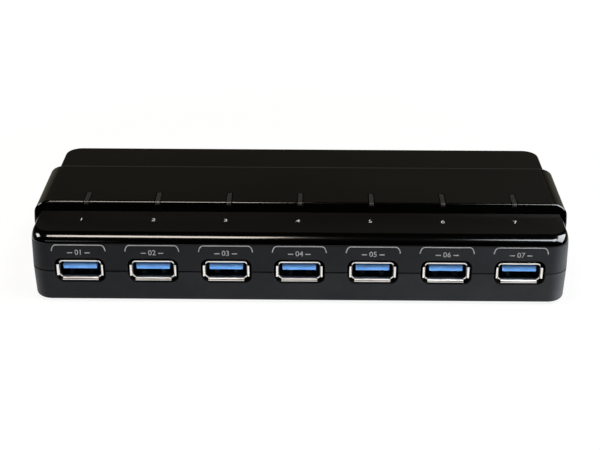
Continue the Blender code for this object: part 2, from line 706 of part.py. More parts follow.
def uplink_tongue():
    """The insulator of the uplink socket: a block with a thick lower and a thin upper tongue."""
    block = mouth_outline(FIT)
    block_front = UPLINK_BLOCK - UPLINK_LENGTH
    body = loft("uplink_tongue", [at_y(block, block_front), at_y(block, -UPLINK_LENGTH)])
    lower_width = MOUTH_WIDTH - 2 * LOWER_TONGUE_GAP
    upper_width = MOUTH_WIDTH - 2 * (MOUTH_CHAMFER + UPPER_TONGUE_GAP)
    lower = moved(rounded_rect(lower_width, LOWER_TONGUE_HEIGHT, LEAST_R, 1), 0, -NECK_HEIGHT / 2)
    upper_z = (MOUTH_HEIGHT - NECK_HEIGHT) / 2
    upper = moved(rounded_rect(upper_width, UPPER_TONGUE_HEIGHT, LEAST_R, 1), 0, upper_z)
    for outline in (lower, upper):
        loops = [at_y(outline, -UPLINK_TONGUE_SETBACK), at_y(outline, block_front - OVERLAP)]
        join(body, loft("bar", loops))
    return body


def jack_body():
    """The moulded power socket: a block behind the wall with a round barrel through it."""
    block = rounded_rect(JACK_WIDTH, JACK_HEIGHT, JACK_CORNER_R, SOCKET_STEPS)
    body = loft("jack_body", [at_y(block, JACK_SHOULDER), at_y(block, JACK_END)])
    barrel = circle(BARREL_DIAMETER)
    join(body, loft("barrel", [at_y(barrel, BARREL_FACE), at_y(barrel, JACK_SHOULDER - OVERLAP)]))
    bore = circle(JACK_BORE)
    seat = circle(PIN_DIAMETER + 2 * FIT)
    cut(body, loft("bore", [
        at_y(bore, BARREL_FACE + CUT_PAST),
        at_y(bore, BORE_END),
        at_y(seat, BORE_END),
        at_y(seat, PIN_SEAT_END),
    ]))
    return body


def jack_pin():
    """The power socket's centre pin, with a rounded tip and its foot in the block."""
    tip = BARREL_FACE - PIN_SETBACK
    tip_round = math.acos(PIN_TIP_DIAMETER / PIN_DIAMETER)
    loops = [at_y(circle(PIN_DIAMETER), PIN_SEAT_END + FIT)]
    for step in range(SOCKET_STEPS + 1):
        angle = tip_round * step / SOCKET_STEPS
        width = PIN_DIAMETER * math.cos(angle)
        loops.append(at_y(circle(width), tip - PIN_DIAMETER / 2 * (1 - math.sin(angle))))
    return loft("jack_pin", loops)


def board():
    """The circuit board, notched at the back for the two sunk sockets and drilled for legs and screws."""
    half = HUB_WIDTH / 2 - WALL - BOARD_SIDE_GAP
    near = FRONT + WALL + BOARD_EDGE_GAP
    far = BACK - WALL - BOARD_EDGE_GAP
    corners = [(half, near), (half, far)]
    for x, width, end in ((JACK_X, JACK_WIDTH, JACK_END), (UPLINK_X, UPLINK_WIDTH, UPLINK_END)):
        reach = width / 2 + FIT
        corners += [(x + reach, far), (x + reach, end - FIT), (x - reach, end - FIT), (x - reach, far)]
    corners += [(-half, far), (-half, near)]
    body = loft("circuit_board", [at_z(corners, BOARD_BOTTOM), at_z(corners, BOARD_TOP)])
    for x, y in SCREW_PLACES:
        hole = turned("hole", [(SCREW_HOLE, BOARD_BOTTOM - CUT_PAST), (SCREW_HOLE, BOARD_TOP + CUT_PAST)])
        hole.location = (x, y, 0)
        cut(body, hole)
    leg_x = THROAT_WIDTH / 2 + SHELL_WALL / 2
    slot = rounded_rect(LEG_THICK + 2 * FIT, LEG_WIDTH + 2 * FIT, LEAST_R, 1)
    for x in PORT_XS:
        for side in (-1, 1):
            outline = moved(slot, x + side * leg_x, RIM_Y + LEG_SETBACK)
            cut(body, loft("leg_slot", [
                at_z(outline, BOARD_BOTTOM - CUT_PAST),
                at_z(outline, BOARD_TOP + CUT_PAST),
            ]))
    return body


def screw():
    """A pan-head screw, head down, with a cross slot."""
    profile = []
    for step in range(SOCKET_STEPS + 1):
        angle = math.radians(90) * step / SOCKET_STEPS
        width = SCREW_FACE_DIAMETER + (SCREW_HEAD_DIAMETER - SCREW_FACE_DIAMETER) * math.sin(angle)
        profile.append((width, SCREW_CROWN * (1 - math.cos(angle)) - SCREW_HEAD_HEIGHT))
    profile += [
        (SCREW_HEAD_DIAMETER, 0),
        (SCREW_DIAMETER, 0),
        (SCREW_DIAMETER, SCREW_LENGTH - SCREW_DIAMETER),
        (SCREW_POINT_DIAMETER, SCREW_LENGTH),
    ]
    body = turned("screw", profile)
    half = CROSS_SLOT_WIDTH / 2
    arm = CROSS_SLOT_LENGTH / 2
    cross = []
    quarter = [(arm, -half), (arm, half), (half, half)]
    for _ in range(4):
        cross += quarter
        quarter = [(-y, x) for x, y in quarter]
    cut(body, loft("cross", [
        at_z(cross, -SCREW_HEAD_HEIGHT - CUT_PAST),
        at_z(cross, -SCREW_HEAD_HEIGHT + CROSS_SLOT_DEPTH),
    ]))
    return body


def foot():
    """A soft round foot with an eased lower edge."""
    profile = []
    for step in range(SOCKET_STEPS + 1):
        angle = math.radians(90) * step / SOCKET_STEPS
        width = FOOT_DIAMETER - 2 * FOOT_EASE * (1 - math.sin(angle))
        profile.append((width, FOOT_EASE * (1 - math.cos(angle))))
    return turned("foot", profile + [(FOOT_DIAMETER, FOOT_PROUD + FOOT_RECESS - FOOT_GLUE)])


def slab(name, length, width, height, radius, ease):
    """A moulded chip or can: an upright rounded block with an eased top edge."""
    lower = rounded_rect(length, width, radius, SOCKET_STEPS)
    upper = rounded_rect(length - 2 * ease, width - 2 * ease, max(radius - ease, ease), SOCKET_STEPS)
    return loft(name, [at_z(lower, 0), at_z(lower, height - ease), at_z(upper, height)])


def capacitor():
    """An upright can with a rolled neck above its base."""
    return turned("capacitor", [
        (CAPACITOR_DIAMETER, 0),
        (CAPACITOR_DIAMETER, CAPACITOR_NECK_RISE),
        (CAPACITOR_DIAMETER - 2 * CAPACITOR_NECK_DEPTH, CAPACITOR_NECK_RISE + CAPACITOR_NECK_DEPTH),
        (CAPACITOR_DIAMETER, CAPACITOR_NECK_RISE + 2 * CAPACITOR_NECK_DEPTH),
        (CAPACITOR_DIAMETER, CAPACITOR_HEIGHT - CAPACITOR_EASE),
        (CAPACITOR_DIAMETER - 2 * CAPACITOR_EASE, CAPACITOR_HEIGHT),
    ])


for old in list(bpy.data.objects):
    bpy.data.objects.remove(old)

hub = bpy.data.objects.new("hub", None)
bpy.context.scene.collection.objects.link(hub)

gloss_black = finish("gloss_black", (0.006, 0.006, 0.005), 0.08)
matte_frame = finish("matte_frame", (0.028, 0.028, 0.031), 0.55)
matte_tray = finish("matte_tray", (0.030, 0.030, 0.033), 0.55)
bright_nickel = finish("bright_nickel", (0.78, 0.76, 0.73), 0.22, 1.0)
blue_plastic = finish("blue_plastic", (0.05, 0.22, 0.72), 0.35)
smoked_clear = finish("smoked_clear", (0.12, 0.12, 0.12), 0.15, 0.0, 0.6)
lamp_lens = finish("lamp_lens", (0.75, 0.78, 0.70), 0.25)
board_green = finish("board_green", (0.02, 0.16, 0.06), 0.45)
uplink_nickel = finish("uplink_nickel", (0.74, 0.73, 0.70), 0.28, 1.0)
uplink_blue = finish("uplink_blue", (0.04, 0.18, 0.60), 0.40)
jack_black = finish("jack_black", (0.02, 0.02, 0.02), 0.50)
pin_nickel = finish("pin_nickel", (0.80, 0.78, 0.74), 0.20, 1.0)
foot_rubber = finish("foot_rubber", (0.03, 0.03, 0.03), 0.90)
screw_steel = finish("screw_steel", (0.35, 0.35, 0.36), 0.35, 1.0)
chip_black = finish("chip_black", (0.03, 0.03, 0.03), 0.60)
crystal_can = finish("crystal_can", (0.72, 0.72, 0.73), 0.30, 1.0)
capacitor_can = finish("capacitor_can", (0.66, 0.66, 0.68), 0.35, 1.0)
inductor_grey = finish("inductor_grey", (0.10, 0.10, 0.11), 0.70)
regulator_black = finish("regulator_black", (0.035, 0.035, 0.035), 0.60)

settle(lid(), gloss_black, hub)
settle(frame(), matte_frame, hub)
settle(tray(), matte_tray, hub)
settle(board(), board_green, hub)

port_places = [(x, RIM_Y, PORT_Z) for x in PORT_XS]
for shell in repeat(port_shell(), "port_shell", port_places):
    settle(shell, bright_nickel, hub)
for tongue in repeat(port_tongue(), "port_tongue", port_places):
    settle(tongue, blue_plastic, hub)
for guide in repeat(light_guide(), "light_guide", [(x, 0, 0) for x in PORT_XS]):
    settle(guide, smoked_clear, hub)
for lamp in repeat(led(), "led", [(x, LED_Y, PARTS_BASE) for x in PORT_XS]):
    settle(lamp, lamp_lens, hub)

uplink_place = (UPLINK_X, UPLINK_FACE, UPLINK_Z)
for piece, material in ((uplink_shell(), uplink_nickel), (uplink_tongue(), uplink_blue)):
    piece.location = uplink_place
    settle(piece, material, hub)
for piece, material in ((jack_body(), jack_black), (jack_pin(), pin_nickel)):
    piece.location = (JACK_X, 0, JACK_Z)
    settle(piece, material, hub)

for pad in repeat(foot(), "foot", [(x, y, 0) for x, y in FOOT_PLACES]):
    settle(pad, foot_rubber, hub)
for fastener in repeat(screw(), "screw", [(x, y, SCREW_SEAT_Z - FIT) for x, y in SCREW_PLACES]):
    settle(fastener, screw_steel, hub)

chip = slab("chip", CHIP_SIDE, CHIP_SIDE, CHIP_HEIGHT, LEAST_R, CHIP_EASE)
chip_places = [(x, PARTS_Y, PARTS_BASE) for x in (LEFT_CHIP_X, RIGHT_CHIP_X)]
for piece in repeat(chip, "hub_chip", chip_places):
    settle(piece, chip_black, hub)
crystal_r = CRYSTAL_WIDTH / 2 - LEAST_R
crystal = slab("crystal", CRYSTAL_LENGTH, CRYSTAL_WIDTH, CRYSTAL_HEIGHT, crystal_r, CRYSTAL_EASE)
crystal_places = [(x, CRYSTAL_Y, PARTS_BASE) for x in (LEFT_CHIP_X, RIGHT_CHIP_X)]
for piece in repeat(crystal, "crystal", crystal_places):
    settle(piece, crystal_can, hub)
for piece in repeat(capacitor(), "capacitor", [(x, PARTS_Y, PARTS_BASE) for x in CAPACITOR_XS]):
    settle(piece, capacitor_can, hub)
inductor = slab("inductor", INDUCTOR_SIDE, INDUCTOR_SIDE, INDUCTOR_HEIGHT, INDUCTOR_CORNER_R, INDUCTOR_EASE)
inductor.location = (INDUCTOR_X, PARTS_Y, PARTS_BASE)
settle(inductor, inductor_grey, hub)
regulator = slab("regulator", REGULATOR_LENGTH, REGULATOR_WIDTH, REGULATOR_HEIGHT, LEAST_R, REGULATOR_EASE)
regulator.location = (REGULATOR_X, PARTS_Y, PARTS_BASE)
settle(regulator, regulator_black, hub)
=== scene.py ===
import math

import bmesh
import bpy
from mathutils import Euler, Matrix, Vector


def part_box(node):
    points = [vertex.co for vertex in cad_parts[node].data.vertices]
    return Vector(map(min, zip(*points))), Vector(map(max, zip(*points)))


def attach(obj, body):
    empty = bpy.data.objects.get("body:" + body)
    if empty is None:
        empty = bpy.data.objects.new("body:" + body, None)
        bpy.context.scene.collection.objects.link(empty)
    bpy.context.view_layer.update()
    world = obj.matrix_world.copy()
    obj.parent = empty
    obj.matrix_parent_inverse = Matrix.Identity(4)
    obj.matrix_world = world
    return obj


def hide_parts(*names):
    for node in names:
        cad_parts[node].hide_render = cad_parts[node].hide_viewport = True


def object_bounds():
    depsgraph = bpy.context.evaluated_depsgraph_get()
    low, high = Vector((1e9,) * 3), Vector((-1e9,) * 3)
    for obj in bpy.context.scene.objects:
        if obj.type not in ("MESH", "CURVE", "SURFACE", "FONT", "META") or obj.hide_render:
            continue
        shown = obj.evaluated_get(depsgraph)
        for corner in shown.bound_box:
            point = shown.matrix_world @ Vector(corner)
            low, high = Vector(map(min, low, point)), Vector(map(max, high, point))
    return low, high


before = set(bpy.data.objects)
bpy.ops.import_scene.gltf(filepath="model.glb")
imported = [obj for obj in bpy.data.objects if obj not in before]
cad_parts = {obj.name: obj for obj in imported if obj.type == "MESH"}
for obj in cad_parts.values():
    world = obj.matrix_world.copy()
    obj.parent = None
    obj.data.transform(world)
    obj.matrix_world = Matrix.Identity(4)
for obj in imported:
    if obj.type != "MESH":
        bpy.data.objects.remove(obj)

cad_low, cad_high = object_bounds()

# Camera
# The hub is seen from straight in front and a little above, with a short telephoto lens.
IMAGE_WIDTH = 600
FOCAL_PIXELS = 1244.7
CAMERA_PLACE = (0.00395, -0.37142, 0.19769)
CAMERA_DOWN = 26.83
CAMERA_LEFT = 0.64
CAMERA_ROLL = 0.10

camera_data = bpy.data.cameras.new("camera")
camera_data.sensor_width = 36.0
camera_data.lens = camera_data.sensor_width * FOCAL_PIXELS / IMAGE_WIDTH
camera_data.clip_start = 0.01
camera = bpy.data.objects.new("camera", camera_data)
bpy.context.scene.collection.objects.link(camera)
camera_turn = Euler((math.radians(90 - CAMERA_DOWN), 0, math.radians(CAMERA_LEFT))).to_matrix()
camera_turn = camera_turn @ Matrix.Rotation(math.radians(CAMERA_ROLL), 3, "Z")
camera.matrix_world = Matrix.Translation(CAMERA_PLACE) @ camera_turn.to_4x4()
bpy.context.scene.camera = camera
bpy.context.scene.view_settings.view_transform = "Standard"

# Studio floor
# A wide white paper sweep that takes the hub's soft shadow. Polished pieces see its white in front of the hub
# and beside it, and only the dim room further back.
FLOOR_REACH = 4.0
FLOOR_GLOW = 0.90
FLOOR_GLOW_FAR = 1.0
FLOOR_FAR = (0.12, 0.30)
FLOOR_SEEN_PALE = 0.14
FLOOR_PALE = 0.80
WHITE_SEEN = 1.35
WHITE_FROM_Y = 0.055
WHITE_TO_Y = 0.085
ROOM_TINT = (1.0, 0.95, 0.72, 1.0)
ROOM_FOOT = 0.20


def shader_node(tree, kind, inputs=None, **settings):
    """A node with its settings made and each named input set to a value or linked to another node's output."""
    node = tree.nodes.new(kind)
    for name, value in settings.items():
        setattr(node, name, value)
    for name, value in (inputs or {}).items():
        if isinstance(value, bpy.types.NodeSocket):
            tree.links.new(value, node.inputs[name])
        else:
            node.inputs[name].default_value = value
    return node


def faded(tree, value, start, end, first, last):
    """A value that runs from first to last while another runs from start to end."""
    span = {"Value": value, "From Min": start, "From Max": end, "To Min": first, "To Max": last}
    return shader_node(tree, "ShaderNodeMapRange", span, interpolation_type="SMOOTHSTEP").outputs[0]


def reckoned(tree, operation, first, second):
    """What a sum of one kind makes of two values."""
    return shader_node(tree, "ShaderNodeMath", {0: first, 1: second}, operation=operation).outputs[0]


def by_ray(tree, plain, seen, mirrored):
    """One shader for plain light, one for the camera and one for rays off or through polished pieces."""
    path = shader_node(tree, "ShaderNodeLightPath").outputs
    polished = reckoned(tree, "MAXIMUM", path["Is Glossy Ray"], path["Is Transmission Ray"])
    direct = {0: path["Is Camera Ray"], 1: plain.outputs[0], 2: seen.outputs[0]}
    first = shader_node(tree, "ShaderNodeMixShader", direct)
    choice = {0: polished, 1: first.outputs[0], 2: mirrored.outputs[0]}
    return shader_node(tree, "ShaderNodeMixShader", choice).outputs[0]


def grey(level):
    """A neutral colour."""
    return (level, level, level, 1.0)


paper = bpy.data.materials.new("white_paper")
paper.use_nodes = True
paper_tree = paper.node_tree
paper_tree.nodes.clear()
paper_spot = shader_node(paper_tree, "ShaderNodeTexCoord").outputs["Object"]
paper_split = shader_node(paper_tree, "ShaderNodeSeparateXYZ", {0: paper_spot})
paper_far = shader_node(paper_tree, "ShaderNodeVectorMath", {0: paper_spot}, operation="LENGTH")
far_glow = faded(paper_tree, paper_far.outputs["Value"], *FLOOR_FAR, FLOOR_GLOW, FLOOR_GLOW_FAR)
paper_plain = shader_node(paper_tree, "ShaderNodeBsdfDiffuse", {"Color": grey(FLOOR_PALE)})
paper_shadow = shader_node(paper_tree, "ShaderNodeBsdfDiffuse", {"Color": grey(FLOOR_SEEN_PALE)})
paper_glow = shader_node(paper_tree, "ShaderNodeEmission", {"Strength": far_glow})
paper_parts = {0: paper_shadow.outputs[0], 1: paper_glow.outputs[0]}
paper_white = shader_node(paper_tree, "ShaderNodeAddShader", paper_parts)
behind = faded(paper_tree, paper_split.outputs["Y"], WHITE_FROM_Y, WHITE_TO_Y, 0.0, 1.0)
paper_tones = {"Factor": behind, "A": grey(WHITE_SEEN), "B": [ROOM_FOOT * part for part in ROOM_TINT]}
paper_tint = shader_node(paper_tree, "ShaderNodeMix", paper_tones, data_type="RGBA")
paper_mirrored = shader_node(paper_tree, "ShaderNodeEmission", {"Color": paper_tint.outputs["Result"]})
paper_look = by_ray(paper_tree, paper_plain, paper_white, paper_mirrored)
shader_node(paper_tree, "ShaderNodeOutputMaterial", {"Surface": paper_look})

floor_mesh = bpy.data.meshes.new("floor")
floor_corners = [(x * FLOOR_REACH, y * FLOOR_REACH, cad_low.z) for x, y in ((-1, -1), (1, -1), (1, 1), (-1, 1))]
floor_mesh.from_pydata(floor_corners, [], [(0, 1, 2, 3)])
floor_mesh.materials.append(paper)
floor = bpy.data.objects.new("floor", floor_mesh)
bpy.context.scene.collection.objects.link(floor)

# Studio room and lamps
# A pale room with a warm and a cool lamp above. Side boxes and a front card show only in polished faces, the
# fill, back and end boxes light only the matte mouldings, and the throat box lights only the blue tongues.
ROOM_LIGHT = 0.10
ROOM_BACK = 0.006
ROOM_FRONT_SHARE = 0.06
ROOM_FOOT_SINE = (0.08, 0.45)
ROOM_FRONT_SINE = (-0.1, 0.3)

room = bpy.data.worlds.new("room")
room.use_nodes = True
room_tree = room.node_tree
room_tree.nodes.clear()
room_way = shader_node(room_tree, "ShaderNodeTexCoord").outputs["Generated"]
room_split = shader_node(room_tree, "ShaderNodeSeparateXYZ", {0: room_way})
room_level = faded(room_tree, room_split.outputs["Z"], *ROOM_FOOT_SINE, ROOM_FOOT, ROOM_BACK)
room_behind = faded(room_tree, room_split.outputs["Y"], *ROOM_FRONT_SINE, ROOM_FRONT_SHARE, 1.0)
room_strength = reckoned(room_tree, "MULTIPLY", room_level, room_behind)
room_soft = shader_node(room_tree, "ShaderNodeBackground", {"Color": grey(1.0), "Strength": ROOM_LIGHT})
room_white = shader_node(room_tree, "ShaderNodeBackground", {"Color": grey(1.0)})
room_dim = shader_node(room_tree, "ShaderNodeBackground", {"Color": ROOM_TINT, "Strength": room_strength})
room_look = by_ray(room_tree, room_soft, room_white, room_dim)
shader_node(room_tree, "ShaderNodeOutputWorld", {"Surface": room_look})
bpy.context.scene.world = room


def softbox(name, middle, aim, size, turn, watts, colour, lights="all"):
    """A rectangular lamp that looks from its middle at a point, turned about its own axis by degrees."""
    lamp_data = bpy.data.lights.new(name, "AREA")
    lamp_data.shape = "RECTANGLE"
    lamp_data.size, lamp_data.size_y = size
    lamp_data.energy = watts
    lamp_data.color = colour
    lamp = bpy.data.objects.new(name, lamp_data)
    look = (Vector(aim) - Vector(middle)).to_track_quat("-Z", "Y").to_matrix()
    turned_look = look @ Matrix.Rotation(math.radians(turn), 3, "Z")
    lamp.matrix_world = Matrix.Translation(middle) @ turned_look.to_4x4()
    lamp.visible_camera = False
    lamp.visible_glossy = lights != "matte"
    lamp.visible_diffuse = lights != "gloss"
    bpy.context.scene.collection.objects.link(lamp)
    return lamp


WARM = (1.0, 0.90, 0.80)
PALE_WARM = (1.0, 0.98, 0.96)
COOL = (0.93, 0.96, 1.0)
WHITE = (1.0, 1.0, 1.0)
HUB_TOP = (0.0, -0.030, 0.020)
softbox("warm_box", (-0.121, -0.055, 0.62), (-0.121, -0.054, 0.0), (0.19, 0.15), -9, 1.7, WARM)
softbox("cool_box", (0.273, -0.126, 0.62), (0.273, -0.125, 0.0), (0.22, 0.17), 40, 2.0, COOL)
softbox("right_box", (0.480, 0.050, 0.45), HUB_TOP, (0.50, 0.36), 0, 7.8, COOL, "gloss")
softbox("left_box", (-0.510, 0.030, 0.420), HUB_TOP, (0.20, 0.18), 0, 1.9, PALE_WARM, "gloss")
softbox("front_card", (-0.230, -0.474, 0.430), HUB_TOP, (0.12, 0.07), 0, 0.04, WHITE, "gloss")
walls_only = bpy.data.collections.new("walls_only")
tongues_only = bpy.data.collections.new("tongues_only")
for name, middle, size, watts, lit in (
    ("fill_box", (0.250, -0.210, 0.080), (0.12, 0.10), 1.7, walls_only),
    ("back_box", (-0.160, 0.420, 0.110), (0.30, 0.20), 3.0, walls_only),
    ("left_end_box", (-0.450, 0.100, 0.060), (0.20, 0.10), 8.0, walls_only),
    ("right_end_box", (0.450, 0.060, 0.060), (0.20, 0.10), 20.0, walls_only),
    ("throat_box", (0.0, -0.195, 0.400), (0.40, 0.06), 4.2, tongues_only),
):
    softbox(name, middle, HUB_TOP, size, 0, watts, WHITE, "matte").light_linking.receiver_collection = lit

# Bottom housing
# The lower half of the case: an open tray of black ABS with a fine spark-eroded skin, moulded in one shot.
# Its wall leans out to the seam, a thin lip locates the upper half, and four posts take the case screws.
CORNER_R = 0.0060
CORNER_STEPS = 16
FILLET_STEPS = 8
HOLE_STEPS = 10
ROUND_STEPS = 48
BOTTOM_EDGE_R = 0.0010
SEAM_CHAMFER = 0.0001
SEAM_RISE = 0.0002
WALL = 0.0020
WALL_LEAN = math.tan(math.radians(1.5))
FLOOR_THICK = 0.0020
RIM_LIP_THICK = 0.0008
RIM_LIP_HEIGHT = 0.0012
FIT = 0.0003
LEAST_R = 0.0003
CUT_PAST = 0.0010
OVERLAP = 0.0005
HOLE_EASE = 0.00018
SOCKET_COUNT = 7
CASE_CORNERS = 4
SOCKET_RIM_HEIGHT = 0.00702
PORT_HOLE_GAP = 0.00065
PORT_HOLE_R = 0.0024
BARREL_DIAMETER = 0.0080
POST_WALL = 0.0008
POST_HEIGHT = 0.0035
HEAD_SEAT = 0.0029
SHANK_HOLE = 0.0032
FOOT_RECESS = 0.0006
MERGE_REACH = 1e-7
SHARP_ANGLE = math.radians(32)
GRAIN_LOW = 0.35
GRAIN_HIGH = 0.65
# The tray's tones are paler than the wall's: partly its own tone, and partly painted light for the floor's
# bounce on its lower face.
TRAY_DARK = (0.0102, 0.0108, 0.0120)
TRAY_PALE = (0.0132, 0.0139, 0.0152)

tray_low, tray_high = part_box("bottom_housing")
HALF_WIDTH = tray_high.x
FRONT = tray_low.y
BACK = tray_high.y
TRAY_BOTTOM = tray_low.z
TRAY_TOP = tray_high.z - RIM_LIP_HEIGHT + SEAM_RISE
TRAY_FLOOR = TRAY_BOTTOM + FLOOR_THICK
socket_boxes = [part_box(f"port_shell_{number}") for number in range(1, SOCKET_COUNT + 1)]
SOCKET_XS = [(low.x + high.x) / 2 for low, high in socket_boxes]
SOCKET_PITCH = (SOCKET_XS[-1] - SOCKET_XS[0]) / (SOCKET_COUNT - 1)
SOCKET_RIM_WIDTH = socket_boxes[0][1].x - socket_boxes[0][0].x
SOCKET_Z = socket_boxes[0][1].z - SOCKET_RIM_HEIGHT / 2
RIM_Y = socket_boxes[0][0].y


def middle_of(node):
    """The middle of a frame node's box."""
    low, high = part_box(node)
    return (low + high) / 2


def numbered(base, count):
    """The frame's names of a numbered set of nodes."""
    return [f"{base}_{number}" for number in range(1, count + 1)]


def plan_middle(low, high):
    """The middle of a box, seen from above."""
    return ((low.x + high.x) / 2, (low.y + high.y) / 2)


def quarter_turn(steps):
    """Angles from nought to a right angle, in equal steps."""
    return [math.radians(90) * step / steps for step in range(steps + 1)]


def rounded_rect(width, height, radius, steps):
    """Points of a rounded rectangle about the origin, anticlockwise from its right side."""
    points = []
    for quarter, (side_x, side_y) in enumerate(((1, 1), (-1, 1), (-1, -1), (1, -1))):
        for step in range(steps + 1):
            angle = math.radians(90) * (quarter + step / steps)
            across = side_x * (width / 2 - radius) + radius * math.cos(angle)
            along = side_y * (height / 2 - radius) + radius * math.sin(angle)
            points.append((across, along))
    return points


def circle(diameter):
    """Points of a circle about the origin."""
    angles = [2 * math.pi * step / ROUND_STEPS for step in range(ROUND_STEPS)]
    return [(diameter / 2 * math.cos(angle), diameter / 2 * math.sin(angle)) for angle in angles]


def moved(points, across, along):
    """Flat points shifted in their own plane."""
    return [(first + across, second + along) for first, second in points]


def at_x(points, x):
    """Flat points (y, z) set in the plane at x."""
    return [(x, y, z) for y, z in points]


def at_y(points, y):
    """Flat points (x, z) set in the plane at y."""
    return [(x, y, z) for x, z in points]


def at_z(points, z):
    """Flat points (x, y) set in the plane at z."""
    return [(x, y, z) for x, y in points]


def skin(name, loops, ring=False):
    """One closed body through equal loops of points, capped at its ends unless it is a ring."""
    count = len(loops[0])
    rows = len(loops)
    faces = []
    for row in range(rows if ring else rows - 1):
        low = row * count
        high = (row + 1) % rows * count
        for index in range(count):
            after = (index + 1) % count
            faces.append((low + index, low + after, high + after, high + index))
    if not ring:
        faces.append(tuple(reversed(range(count))))
        faces.append(tuple(range((rows - 1) * count, rows * count)))
    mesh = bpy.data.meshes.new(name)
    mesh.from_pydata([point for loop in loops for point in loop], [], faces)
    work = bmesh.new()
    work.from_mesh(mesh)
    bmesh.ops.recalc_face_normals(work, faces=work.faces)
    work.to_mesh(mesh)
    work.free()
    body = bpy.data.objects.new(name, mesh)
    bpy.context.scene.collection.objects.link(body)
    return body


def prism(name, plane, outline, start, end):
    """A straight bar of one outline between two places along the axis of a plane."""
    return skin(name, [plane(outline, start), plane(outline, end)])


def baked(body):
    """Turn an object's modifiers into its plain mesh."""
    graph = bpy.context.evaluated_depsgraph_get()
    result = bpy.data.meshes.new_from_object(body.evaluated_get(graph))
    body.modifiers.clear()
    body.data = result
    result.name = body.name
    return body


def combine(body, tool, operation):
    """Join a tool to a body or cut it out."""
    modifier = body.modifiers.new("combine", "BOOLEAN")
    modifier.operation = operation
    modifier.solver = "EXACT"
    modifier.object = tool
    baked(body)
    bpy.data.objects.remove(tool)


def join(body, tool):
    """Join a tool to a body."""
    combine(body, tool, "UNION")


def cut(body, tool):
    """Cut a tool out of a body."""
    combine(body, tool, "DIFFERENCE")


def turned(name, profile, place=(0.0, 0.0)):
    """A round body about an upright axis from (diameter, height) pairs."""
    return skin(name, [at_z(moved(circle(diameter), *place), height) for diameter, height in profile])


def housing_loop(inset, height):
    """The case's plan at one height, drawn in by an inset."""
    radius = max(CORNER_R - inset, LEAST_R)
    plan = rounded_rect(2 * (HALF_WIDTH - inset), BACK - FRONT - 2 * inset, radius, CORNER_STEPS)
    return at_z(plan, height)


def wall_hole(outline, face, outward):
    """A cutter through a front or back wall, opened out a little where it breaks the outer face."""
    steps = ((0, -WALL - CUT_PAST), (0, -HOLE_EASE), (HOLE_EASE, 0), (HOLE_EASE + CUT_PAST, CUT_PAST))
    return skin("wall_hole", [at_y(outline(grow), face + outward * depth) for grow, depth in steps])


def floor_hole(diameter, place, depth):
    """A round cutter up into the tray's underside, with an eased mouth."""
    return turned("floor_hole", [
        (diameter + 2 * (HOLE_EASE + CUT_PAST), TRAY_BOTTOM - CUT_PAST),
        (diameter + 2 * HOLE_EASE, TRAY_BOTTOM),
        (diameter, TRAY_BOTTOM + HOLE_EASE),
        (diameter, TRAY_BOTTOM + depth),
    ], place)


def around(node, grow, steps):
    """A frame node's outline seen from the front, let out on all sides."""
    low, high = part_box(node)
    outline = rounded_rect(high.x - low.x + 2 * grow, high.z - low.z + 2 * grow, LEAST_R + grow, steps)
    return moved(outline, (low.x + high.x) / 2, (low.z + high.z) / 2)


def socket_holes():
    """The cutters for all front and back sockets, which both halves of the case share."""
    cutters = []
    for x in SOCKET_XS:

        def port(grow, x=x):
            width = SOCKET_RIM_WIDTH + 2 * (PORT_HOLE_GAP + grow)
            height = SOCKET_RIM_HEIGHT + 2 * (PORT_HOLE_GAP + grow)
            return moved(rounded_rect(width, height, PORT_HOLE_R + grow, HOLE_STEPS), x, SOCKET_Z)

        cutters.append(wall_hole(port, FRONT, -1))

    def uplink(grow):
        return around("uplink_shell", FIT + grow, HOLE_STEPS)

    def jack(grow):
        centre = middle_of("jack_body")
        return moved(circle(BARREL_DIAMETER + 2 * (FIT + grow)), centre.x, centre.z)

    return cutters + [wall_hole(uplink, BACK, 1), wall_hole(jack, BACK, 1)]


